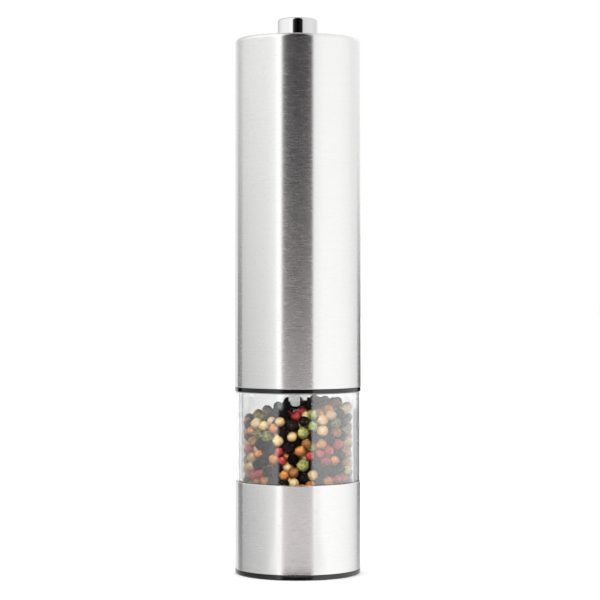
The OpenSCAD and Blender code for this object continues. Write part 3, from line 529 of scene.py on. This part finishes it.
fill_at = np.column_stack([fill_out * np.cos(fill_angle), fill_out * np.sin(fill_angle),
                           pour.uniform(pour_low, pour_high, fill_count)])

# the corns sink by less and less, and those that overlap push each other apart
sink_steps = 400
sink_first = 0.3 * mm
push_rounds = 2
push_share = 0.35
search_every = 8
search_reach = 2.5 * mm
hardly = 1e-9
for step in range(sink_steps):
    if step % search_every == 0:
        apart = fill_at[:, None, :] - fill_at[None, :, :]
        reach = fill_r[:, None] + fill_r[None, :] + search_reach
        left, right = np.nonzero(np.triu((apart ** 2).sum(2) < reach ** 2, 1))
    fill_at[:, 2] -= sink_first * (1 - step / sink_steps)
    for push in range(push_rounds):
        apart = fill_at[left] - fill_at[right]
        gap = np.maximum(np.sqrt((apart ** 2).sum(1)), hardly)
        overlap = np.clip(fill_r[left] + fill_r[right] - gap, 0, None)
        shift = apart * (overlap / gap * push_share)[:, None]
        np.add.at(fill_at, left, shift)
        np.add.at(fill_at, right, -shift)
        out = np.hypot(fill_at[:, 0], fill_at[:, 1])
        held = np.clip(out, fill_core + fill_r, fill_wall - fill_r)
        fill_at[:, :2] *= (held / np.maximum(out, hardly))[:, None]
        fill_at[:, 2] = np.maximum(fill_at[:, 2], fill_low + fill_r)

# the heap's top: a slope that bends up on the right and down on the left, under the hopper's neck
heap_middle_z = 68.6 * mm
heap_slope_x, heap_slope_y = 0.12, 0.10
heap_bend_right, heap_bend_left = 7.0, 6.0
heap_highest_z = shoulder_z + 0.3 * mm
fill_x, fill_y = fill_at[:, 0], fill_at[:, 1]
fill_sides = heap_bend_right * np.maximum(fill_x, 0) ** 2 - heap_bend_left * np.minimum(fill_x, 0) ** 2
fill_slope = heap_middle_z + heap_slope_x * fill_x + heap_slope_y * fill_y + fill_sides
fill_top = np.minimum(fill_slope, heap_highest_z)
fill_kept = fill_at[:, 2] + fill_r < fill_top

# one tree grows a heap: a small lumpy corn on every point, turned at random
heap_tree, heap_sockets, heap_in, heap_out = tree_with("corn_heap", [
    ("Lump Depth", "NodeSocketFloat"), ("Lump Size", "NodeSocketFloat"), ("Seed", "NodeSocketInt"),
    ("Finish", "NodeSocketMaterial")])
lump_middle = 0.62
heap_cube = node_in(heap_tree, "GeometryNodeMeshCube", Vertices_X=4, Vertices_Y=4, Vertices_Z=4)
heap_place = heap_tree.nodes.new("GeometryNodeInputPosition").outputs["Position"]
heap_normal = heap_tree.nodes.new("GeometryNodeInputNormal").outputs["Normal"]
heap_unit = node_in(heap_tree, "ShaderNodeVectorMath", heap_place, operation="NORMALIZE")
heap_round = node_in(heap_tree, "GeometryNodeSetPosition", Geometry=heap_cube.outputs["Mesh"],
                     Position=heap_unit.outputs["Vector"])
heap_size = node_in(heap_tree, "GeometryNodeInputNamedAttribute", data_type="FLOAT", Name="corn_radius")
heap_turn = node_in(heap_tree, "FunctionNodeRandomValue", data_type="FLOAT_VECTOR",
                    Max=(2 * math.pi,) * 3, Seed=heap_in["Seed"])
heap_corns = node_in(heap_tree, "GeometryNodeInstanceOnPoints", Points=heap_in["Geometry"],
                     Instance=heap_round.outputs["Geometry"], Rotation=heap_turn.outputs["Value"],
                     Scale=heap_size.outputs["Attribute"])
heap_tone = node_in(heap_tree, "FunctionNodeRandomValue", Seed=heap_in["Seed"])
heap_keep = node_in(heap_tree, "GeometryNodeStoreNamedAttribute", data_type="FLOAT", domain="INSTANCE",
                    Geometry=heap_corns.outputs["Instances"], Name="corn_tone", Value=heap_tone.outputs[1])
heap_real = node_in(heap_tree, "GeometryNodeRealizeInstances", heap_keep.outputs["Geometry"])
heap_zoom = node_in(heap_tree, "ShaderNodeVectorMath", heap_place, operation="SCALE",
                    Scale=math_node(heap_tree, "DIVIDE", 1, heap_in["Lump Size"]))
heap_noise = node_in(heap_tree, "ShaderNodeTexNoise", Vector=heap_zoom.outputs["Vector"], Scale=1, Detail=1)
heap_swell = math_node(heap_tree, "MULTIPLY",
                       math_node(heap_tree, "SUBTRACT", heap_noise.outputs["Fac"], lump_middle),
                       math_node(heap_tree, "MULTIPLY", heap_in["Lump Depth"], 2))
heap_push = node_in(heap_tree, "ShaderNodeVectorMath", heap_normal, operation="SCALE", Scale=heap_swell)
heap_lumps = node_in(heap_tree, "GeometryNodeSetPosition", Geometry=heap_real.outputs["Geometry"],
                     Offset=heap_push.outputs["Vector"])
heap_smooth = node_in(heap_tree, "GeometryNodeSetShadeSmooth", heap_lumps.outputs["Geometry"])
heap_finish = node_in(heap_tree, "GeometryNodeSetMaterial", Geometry=heap_smooth.outputs["Geometry"],
                      Material=heap_in["Finish"])
feed(heap_tree, heap_out, Geometry=heap_finish.outputs["Geometry"])

# the skin that all corns share: wrinkled creases with painted shade in them, or raised lines with a painted
# highlight where the crease share is below nought, and a tone of its own for each corn
corn_skin, skin_in, skin_out = surface_effect(
    "corn_skin",
    [("Dark", "colour"), ("Light", "colour"), ("Tone", "value"), ("Wrinkle Size", "value"),
     ("Crease", "value")],
    [("Colour", "colour"), ("Height", "value")])
tone_share = 0.55
mottle_share = 1.2
mottle_start = 0.3
crease_width = 0.28
skin_place = sized_place(corn_skin, skin_in["Wrinkle Size"])
skin_mottle = node_in(corn_skin, "ShaderNodeTexNoise", Vector=skin_place, Scale=0.8, Detail=4)
skin_bend = node_in(corn_skin, "ShaderNodeVectorMath", skin_place, skin_mottle.outputs["Color"],
                    operation="ADD")
skin_net = node_in(corn_skin, "ShaderNodeTexVoronoi", feature="DISTANCE_TO_EDGE",
                   Vector=skin_bend.outputs["Vector"], Scale=1)
skin_ridge = node_in(corn_skin, "ShaderNodeMapRange", Value=skin_net.outputs["Distance"],
                     From_Max=crease_width).outputs["Result"]
skin_patches = math_node(corn_skin, "SUBTRACT", skin_mottle.outputs["Fac"], mottle_start)
skin_blend = math_node(corn_skin, "ADD", math_node(corn_skin, "MULTIPLY", skin_in["Tone"], tone_share),
                       math_node(corn_skin, "MULTIPLY", skin_patches, mottle_share))
# painted shade darkens the crease lines, and a crease share below nought paints them lighter as a painted
# highlight on raised lines
painted_crease_light = math_node(corn_skin, "MULTIPLY", math_node(corn_skin, "SUBTRACT", 1, skin_ridge),
                        skin_in["Crease"])
skin_with_painted_creases = node_in(corn_skin, "ShaderNodeHueSaturation",
                   Color=colour_mix(corn_skin, skin_blend, skin_in["Dark"], skin_in["Light"]),
                   Value=math_node(corn_skin, "SUBTRACT", 1, painted_crease_light))
feed(corn_skin, skin_out, Colour=skin_with_painted_creases.outputs["Color"], Height=skin_ridge)


def corn_finish(name, dark, light, roughness, shine, wrinkle, crease_paint, depth, coat=0.0):
    """A dried skin that goes from a dark to a light colour, with painted shade or a painted highlight along
    its creases.
    """
    material, tree, shader = new_finish(name, light)
    tone = node_in(tree, "ShaderNodeAttribute", attribute_name="corn_tone")
    skin = place_effect(tree, corn_skin, Dark=(*dark, 1), Light=(*light, 1), Tone=tone.outputs["Fac"],
                        Wrinkle_Size=wrinkle, Crease=crease_paint)
    feed(tree, shader, Base_Color=skin["Colour"], Roughness=roughness, Specular_IOR_Level=shine,
         Coat_Weight=coat, Coat_Roughness=0.12)
    bump_from(tree, skin["Height"], strength=0.8, distance=depth)
    return material


# the number after each wrinkle size is the painted crease light: above nought painted shade in the creases,
# below nought a painted highlight on raised lines
corn_finishes = {
    "black_corns": corn_finish("black_corn_skin", (0.0003, 0.0002, 0.0002), (0.0036, 0.002, 0.0015),
                               0.6, 0.04, 1.3 * mm, -2.0, -0.25 * mm),
    "cream_corns": corn_finish("cream_corn_skin", (0.30, 0.15, 0.045), (0.60, 0.46, 0.22),
                               0.5, 0.5, 1.5 * mm, 0.25, 0.07 * mm),
    "tan_corns": corn_finish("tan_corn_skin", (0.12, 0.028, 0.003), (0.56, 0.21, 0.028),
                             0.5, 0.45, 1.6 * mm, 0.4, 0.1 * mm),
    "red_corns": corn_finish("red_corn_skin", (0.09, 0.003, 0.004), (0.44, 0.022, 0.018),
                             0.36, 0.5, 2.2 * mm, 0.4, 0.16 * mm, 0.35),
    "green_corns": corn_finish("green_corn_skin", (0.014, 0.016, 0.002), (0.14, 0.145, 0.03),
                               0.52, 0.6, 1.5 * mm, -1.8, -0.4 * mm)}
first_seed = 3
for index, (name, kind) in enumerate(fill_kinds.items()):
    chosen = (fill_kind == index) & fill_kept
    points = bpy.data.meshes.new(name + "_points")
    points.from_pydata(fill_at[chosen].tolist(), [], [])
    sizes = points.attributes.new("corn_radius", "FLOAT", "POINT")
    sizes.data.foreach_set("value", fill_r[chosen].astype(np.float32))
    heap = grown(name, heap_tree, heap_sockets, points, Lump_Depth=kind[3], Lump_Size=kind[4],
                 Seed=index + first_seed, Finish=corn_finishes[name])
    stands_for(heap, "base", corn_finishes[name], "peppercorns")


# Chassis: the long black moulding that carries the works, with the flange that shows between the
# cover and the hopper. The steel cover slides over it, and its socket fits the hopper's neck.

dress(black_moulding, "chassis")


# Drive coupling: a hexagonal steel bar with a turned point, pressed in the gearbox's output.
# It hangs into the hopper, and its square socket drops over the shaft.

coupling_steel = brushed("milled_steel", (0.54, 0.54, 0.53), 0.10, drawn_lines, 0.15)
dress(coupling_steel, "drive_coupling")


# Gearbox: two planetary stages in a moulded acetal housing, with cover, carriers and planets.
# The housing is screwed to the chassis floor, and a brass pinion on the motor drives it.

acetal = moulded("natural_acetal", (0.74, 0.71, 0.62), 0.34, grain=0.6 * mm, contrast=0.10,
                 depth=0.006 * mm)
feed(acetal.node_tree, acetal.node_tree.nodes["Principled BSDF"], Subsurface_Weight=0.08,
     Subsurface_Radius=(2 * mm, 1.6 * mm, 1.2 * mm))
dress(acetal, "gearbox_cover", "gearbox_housing", "output_carrier", "middle_carrier",
      "output_planet_1", "output_planet_2", "output_planet_3",
      "motor_planet_1", "motor_planet_2", "motor_planet_3")
dress(brass, "sun_pinion")


# Motor: a small brushed motor, its drawn steel can crimped round a cream end cap.
# Inside are two magnets, the wound armature, a copper commutator and carbon brushes.

zinc_can = brushed("plated_can", (0.68, 0.68, 0.66), 0.3, (9 * mm, 9 * mm, 0.3 * mm), 0.12)
ferrite = plated("magnet_ferrite", (0.06, 0.06, 0.065), (0.03, 0.03, 0.03), 0.5, metallic=0.2)
carbon = plated("brush_carbon", (0.03, 0.03, 0.032), (0.015, 0.015, 0.015), 0.45, metallic=0.3)
core_steel = brushed("stacked_laminations", (0.34, 0.35, 0.36), 0.4, (30 * mm, 30 * mm, 0.35 * mm), 0.7)
enamel_wire = brushed("enamelled_copper", (0.50, 0.19, 0.06), 0.3, (8 * mm, 8 * mm, 0.3 * mm), 0.6)
copper = plated("commutator_copper", (0.62, 0.30, 0.16), (0.35, 0.16, 0.08), 0.25)
dress(zinc_can, "motor_can")
dress(acetal, "motor_end_cap")
dress(ferrite, "motor_magnets")
dress(carbon, "motor_brushes")
dress(brass, "motor_terminals")
dress(core_steel, "motor_core")
dress(enamel_wire, "motor_coils")
dress(copper, "commutator")


# Battery case, cap and contacts: a black moulded holder that drops into the chassis, closed by a cap
# with one screw. The contacts are bent from nickel-plated sheet and wire.

nickel_sheet = plated("nickel_sheet", (0.74, 0.73, 0.69), (0.55, 0.53, 0.48), 0.2, patch=4 * mm)
dress(black_moulding, "battery_case", "battery_cap")
dress(nickel_sheet, "lower_link", "upper_links", "motor_link", "post_strip", "motor_strip")
contact_low, contact_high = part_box("battery_springs")
contact_wire = 0.7 * mm
contact_wide_r = 5.5 * mm
contact_narrow_r = 3 * mm
contact_turns = 3
for n in (1, 2, 3, 4):
    cell_low, cell_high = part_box(f"battery_{n}")
    cell_at = (cell_low.xy + cell_high.xy) / 2
    if cell_low.z > contact_low.z + contact_wire:
        spring_at, spring_l = contact_low.z, cell_low.z - contact_low.z
        low_r, high_r = contact_wide_r, contact_narrow_r
    else:
        spring_at, spring_l = cell_high.z, contact_high.z - cell_high.z
        low_r, high_r = contact_narrow_r, contact_wide_r
    contact = wound(f"contact_spring_{n}", spring_at, spring_l, low_r, high_r, contact_turns, contact_wire,
                    nickel_sheet, cell_at)
    stands_for(contact, "motor_unit", nickel_sheet, "battery_springs")


# Cells: four AA cells, two with their caps up, each a nickel-plated can in a shrunk film sleeve.
# The film is plain dark grey with a copper band at the capped end, and is folded over both edges.

cell_film = moulded("cell_film", (0.035, 0.037, 0.042), 0.25, grain=2 * mm, contrast=0.07, depth=0.002 * mm)
cell_band_film = plated("copper_film", (0.60, 0.27, 0.12), (0.48, 0.20, 0.08), 0.2, patch=5 * mm,
                        amount=0.3)
cell_finishes = (nickel_sheet, cell_film, cell_band_film)
film_slot, band_slot = 1, 2
cell_r = 7.25 * mm
cell_edge = 0.7 * mm
cell_fold_r = 5.9 * mm
cell_fold_edge = 0.1 * mm
cell_pad_r = 4.4 * mm
cell_pad_edge = 0.15 * mm
cell_groove = 0.35 * mm
cell_nub_r = 2.75 * mm
cell_nub_h = 1.5 * mm
cell_nub_edge = 0.4 * mm
cell_band = 14 * mm
cell_segments = 64
for n in (1, 2, 3, 4):
    cell_low, cell_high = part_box(f"battery_{n}")
    cell_at = (cell_low.xy + cell_high.xy) / 2
    cell_l = cell_high.z - cell_low.z
    cell_top = cell_l - cell_nub_h
    cell_side = rounded([
        (0, 0, 0), (cell_pad_r, 0, cell_pad_edge), (cell_pad_r + cell_groove, cell_groove, 0),
        (cell_fold_r, cell_groove, 0), (cell_fold_r, 0, cell_fold_edge), (cell_r, 0, cell_edge),
        (cell_r, cell_top - cell_band, 0), (cell_r, cell_top, cell_edge),
        (cell_fold_r, cell_top, cell_fold_edge), (cell_fold_r, cell_top - cell_groove, 0),
        (cell_nub_r + cell_groove, cell_top - cell_groove, 0), (cell_nub_r, cell_top, cell_fold_edge),
        (cell_nub_r, cell_l, cell_nub_edge), (0, cell_l, 0)])
    cap_up = cell_low.z > contact_low.z + contact_wire
    cell_outline = [(r, cell_low.z + z if cap_up else cell_high.z - z) for r, z in cell_side]
    build = bmesh.new()
    turn_outline(build, cell_outline, cell_segments, cell_at)
    cell = plain_mesh(f"aa_cell_{n}", build)
    for cell_finish in cell_finishes:
        cell.data.materials.append(cell_finish)
    for face in cell.data.polygons:
        along = face.center.z - cell_low.z if cap_up else cell_high.z - face.center.z
        if (face.center.xy - cell_at).length > cell_fold_r:
            face.material_index = band_slot if along > cell_top - cell_band else film_slot
    stands_for(cell, "motor_unit", cell_film, f"battery_{n}")


# Steel cover: a deep-drawn stainless cup, brushed round its axis and slightly tapered, with a hole in
# the top for the button. It slides down over the chassis onto the flange.

cover_low, cover_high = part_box("steel_cover")
cover_r = cover_high.x
cover_top_r = 24.9 * mm
cover_wall = 0.6 * mm
cover_roof = 0.7 * mm
cover_edge = 1.5 * mm
cover_edge_steps = 8
cover_rim_edge = 0.2 * mm
button_hole_r = 8.35 * mm
button_hole_edge = 0.2 * mm
button_hole_under_edge = 0.1 * mm
steel_cover = turned("steel_cover_shell", rounded([
    (cover_r, cover_low.z, cover_rim_edge), (cover_top_r, cover_high.z, cover_edge),
    (button_hole_r, cover_high.z, button_hole_edge),
    (button_hole_r, cover_high.z - cover_roof, button_hole_under_edge),
    (cover_top_r - cover_wall, cover_high.z - cover_roof, cover_edge - cover_wall),
    (cover_r - cover_wall, cover_low.z, 0)], cover_edge_steps), shell_segments)
stands_for(steel_cover, "cover", brushed_steel, "steel_cover")


# Button cup and spring: a black moulded cup welded under the cover's roof, which guides the button.
# A coil spring in it lifts the button.

dress(black_moulding, "button_cup")
spring_low, spring_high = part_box("button_spring")
button_wire = 0.7 * mm
button_turns = 7
button_spring_r = spring_high.x - button_wire / 2
button_spring = wound("button_spring_coil", spring_low.z, spring_high.z - spring_low.z, button_spring_r,
                      button_spring_r, button_turns, button_wire, spring_steel)
stands_for(button_spring, "cover", spring_steel, "button_spring")
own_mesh(button_spring)


# Push button: a hollow zinc casting, polished and chromed, that shuts the switch when it is pressed.
# Its flange stops it under the cover, and its stem carries the brass contact bridge.

polished_chrome = plated("polished_chrome", (0.50, 0.50, 0.50), (0.44, 0.44, 0.44), 0.05, patch=9 * mm,
                         amount=0.12, scratches=0.02)
button_low, button_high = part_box("push_button")
button_r = 8.05 * mm
button_edge = 1.2 * mm
button_edge_steps = 8
button_flange_r = button_high.x
button_flange_low = 210.3 * mm
button_flange_high = 211.9 * mm
button_flange_edge = 0.2 * mm
button_ir = button_r - 1.2 * mm
button_roof_z = button_high.z - 1.5 * mm
stem_r = 2.2 * mm
button_segments = 160
push_button = turned("push_button_cap", rounded([
    (0, button_low.z, 0), (stem_r, button_low.z, 0), (stem_r, button_roof_z, 0),
    (button_ir, button_roof_z, 0), (button_ir, button_flange_low, 0),
    (button_flange_r, button_flange_low, button_flange_edge),
    (button_flange_r, button_flange_high, button_flange_edge),
    (button_r, button_flange_high, 0), (button_r, button_high.z, button_edge), (0, button_high.z, 0)],
    button_edge_steps), button_segments)
stands_for(push_button, "button", polished_chrome, "push_button")
dress(brass, "contact_bridge")


# Studio: a plain pale floor in a bright room, with a dark gap between two soft walls behind the
# camera, white cards and two black flags that the steel mirrors, and one narrow lamp for the corns.

scene = bpy.context.scene
scene.view_settings.view_transform = "Standard"


def flat_sheet(name, corners, colour, glow, glow_colour=(1, 1, 1)):
    """A flat stage sheet, plain and matt, that may glow."""
    build = bmesh.new()
    build.faces.new([build.verts.new(corner) for corner in corners])
    sheet = plain_mesh(name, build)
    paint, tree, shader = new_finish(name + "_paint")
    feed(tree, shader, Base_Color=(*colour, 1), Roughness=0.9, Specular_IOR_Level=0,
         Emission_Color=(*glow_colour, 1), Emission_Strength=glow)
    sheet.data.materials.append(paint)
    return sheet


black, pale = (0, 0, 0), (0.92, 0.92, 0.92)
floor_side, floor_back = 6, 8
floor = flat_sheet("floor", [
    (-floor_side, -floor_side, 0), (floor_side, -floor_side, 0), (floor_side, floor_back, 0),
    (-floor_side, floor_back, 0)], pale, glow=0.25)
floor.visible_glossy = False
floor.visible_transmission = False

# the cards lie in front of the mill and widen with the dark gap between the walls
mirrored = []
card_z = 0.0005
card_start = 0.01
card_slope = math.tan(math.radians(29))
card_tint = (1, 0.94, 0.95)
for name, near, far, glow in (("near_card", 0.0315, 0.13, 1.45), ("far_card", 0.13, 0.33, 2.4)):
    corners = [(side * (card_start + along * card_slope), -along, card_z)
               for side, along in ((-1, far), (1, far), (1, near), (-1, near))]
    mirrored.append(flat_sheet(name, corners, black, glow, card_tint))

# the flags stand far behind the mill and draw the dark lines near its outline
flag_away = 1.5
flag_low = -0.12
for name, first, last, high in (("left_flag", -142, -122, 0.17), ("right_flag", 140, 165, 0.14)):
    corners = [(flag_away * math.sin(math.radians(turn)), -flag_away * math.cos(math.radians(turn)), z)
               for turn, z in ((first, flag_low), (last, flag_low), (last, high), (first, high))]
    mirrored.append(flat_sheet(name, corners, black, glow=0))
for sheet in mirrored:
    sheet.visible_camera = False
    sheet.visible_diffuse = False
    sheet.visible_transmission = False
    sheet.visible_shadow = False

# the room is grey by direction only: its colours are shares of one full level
studio = bpy.data.worlds.new("studio")
scene.world = studio
studio.use_nodes = True
room = studio.node_tree
room_full = 2.0
roof_level = 0.3
room_place = node_in(room, "ShaderNodeSeparateXYZ",
                     room.nodes.new("ShaderNodeTexCoord").outputs["Generated"]).outputs
room_turn = node_in(room, "ShaderNodeMapRange", From_Min=-math.pi, From_Max=math.pi,
                    Value=math_node(room, "ARCTAN2", room_place["X"],
                                    math_node(room, "MULTIPLY", room_place["Y"], -1)))


def room_grey(level):
    """A level of light as a share of the room's full level."""
    return (level / room_full,) * 3 + (1,)


def room_band(levels):
    """Brightness round the room, from (degrees round from the camera, level) pairs."""
    ramp = node_in(room, "ShaderNodeValToRGB", room_turn.outputs["Result"])
    stops = ramp.color_ramp.elements
    while len(stops) < len(levels):
        stops.new(0.5)
    for stop, (degrees, level) in zip(stops, levels):
        stop.position = (degrees + 180) / 360
    for stop, (degrees, level) in zip(stops, levels):
        stop.color = room_grey(level)
    return ramp.outputs["Color"]


def blend_by_height(low, high, lower, upper):
    """Changes from one colour to another as the direction rises from low to high."""
    rise = node_in(room, "ShaderNodeMapRange", interpolation_type="SMOOTHSTEP", Value=room_place["Z"],
                   From_Min=low, From_Max=high)
    return colour_mix(room, rise.outputs["Result"], lower, upper)


lower_walls = room_band([
    (-180, 1.0), (-168, 0.95), (-155, 1.08), (-146, 1.12), (-141, 1.0), (-135, 0.5), (-100, 0.52),
    (-79, 0.55), (-61, 0.70), (-49, 0.88), (-41, 1.0), (-37.5, 1.9), (-31.5, 1.9), (-29, 0.4), (-25, 0.06),
    (0, 0.0), (25, 0.04), (27, 0.3), (29, 1.55), (46, 1.8), (62, 1.76), (85, 1.68), (107, 1.55),
    (123, 1.3), (138, 0.9), (147, 0.8), (155, 0.95), (180, 1.0)])
upper_walls = room_band([
    (-180, 1.15), (-165, 1.05), (-150, 1.0), (-146, 0.9), (-136, 1.1), (-119, 1.5), (-100, 1.68),
    (-79, 1.78), (-61, 1.76), (-49, 1.8), (-41, 1.98), (-31, 1.9), (-28, 0.5), (-25, 0.16), (-18, 0.03),
    (0, 0.0), (18, 0.02), (25, 0.05), (27.5, 0.3), (30, 1.25), (46, 1.38), (62, 1.45), (85, 1.48),
    (107, 1.4), (123, 1.3), (140, 1.45), (150, 1.4), (165, 1.2), (180, 1.15)])
# the narrow band that only the hopper mirrors towards the camera
hopper_walls = room_band([
    (-180, 1.0), (-168, 0.95), (-155, 1.08), (-146, 1.12), (-141, 1.0), (-135, 0.56), (-100, 0.62),
    (-79, 0.67), (-61, 0.84), (-49, 1.1), (-38, 1.22), (-36.5, 0.06), (-25, 0.02), (0, 0.0), (25, 0.04),
    (26.5, 0.3), (28, 1.55), (46, 1.8), (62, 1.76), (85, 1.68), (107, 1.55), (123, 1.3), (136, 0.9),
    (140, 0.25), (146, 0.25), (151, 0.7), (180, 0.85)])
low_to_hopper = blend_by_height(-0.1, -0.096, lower_walls, hopper_walls)
hopper_to_low = blend_by_height(-0.057, -0.0545, low_to_hopper, lower_walls)
walls = blend_by_height(0.0, 0.05, hopper_to_low, upper_walls)
roofed = blend_by_height(0.93, 0.99, walls, room_grey(roof_level))
room_light = room.nodes["Background"]
feed(room, room_light, Color=roofed, Strength=room_full)
room_backdrop = node_in(room, "ShaderNodeBackground", Color=(1, 1, 1, 1))
room_ray = room.nodes.new("ShaderNodeLightPath")
room_pick = node_in(room, "ShaderNodeMixShader", room_ray.outputs["Is Camera Ray"],
                    room_light.outputs["Background"], room_backdrop.outputs["Background"])
feed(room, room.nodes["World Output"], Surface=room_pick.outputs["Shader"])


def aim(thing, at, target):
    """Puts a lamp or camera in place and turns it to a target."""
    thing.location = at
    thing.rotation_euler = (Vector(target) - thing.location).to_track_quat("-Z", "Y").to_euler()
    scene.collection.objects.link(thing)


lamp = bpy.data.objects.new("corn_lamp", bpy.data.lights.new("corn_lamp", "SPOT"))
lamp.data.shadow_soft_size = 0.02
lamp.data.spot_size = math.radians(5.6)
lamp.data.spot_blend = 1
lamp.data.energy = 50
lamp.scale.x = 0.48
lamp.visible_glossy = False
aim(lamp, at=(-0.12, -0.95, 0.52), target=(0, 0, 0.055))

camera = bpy.data.objects.new("camera", bpy.data.cameras.new("camera"))
camera.data.lens = 127.35
camera.data.clip_start = 0.05
aim(camera, at=(0.88 * mm, -848 * mm, 112.6 * mm), target=(0.88 * mm, 0, 108.9 * mm))
scene.camera = camera
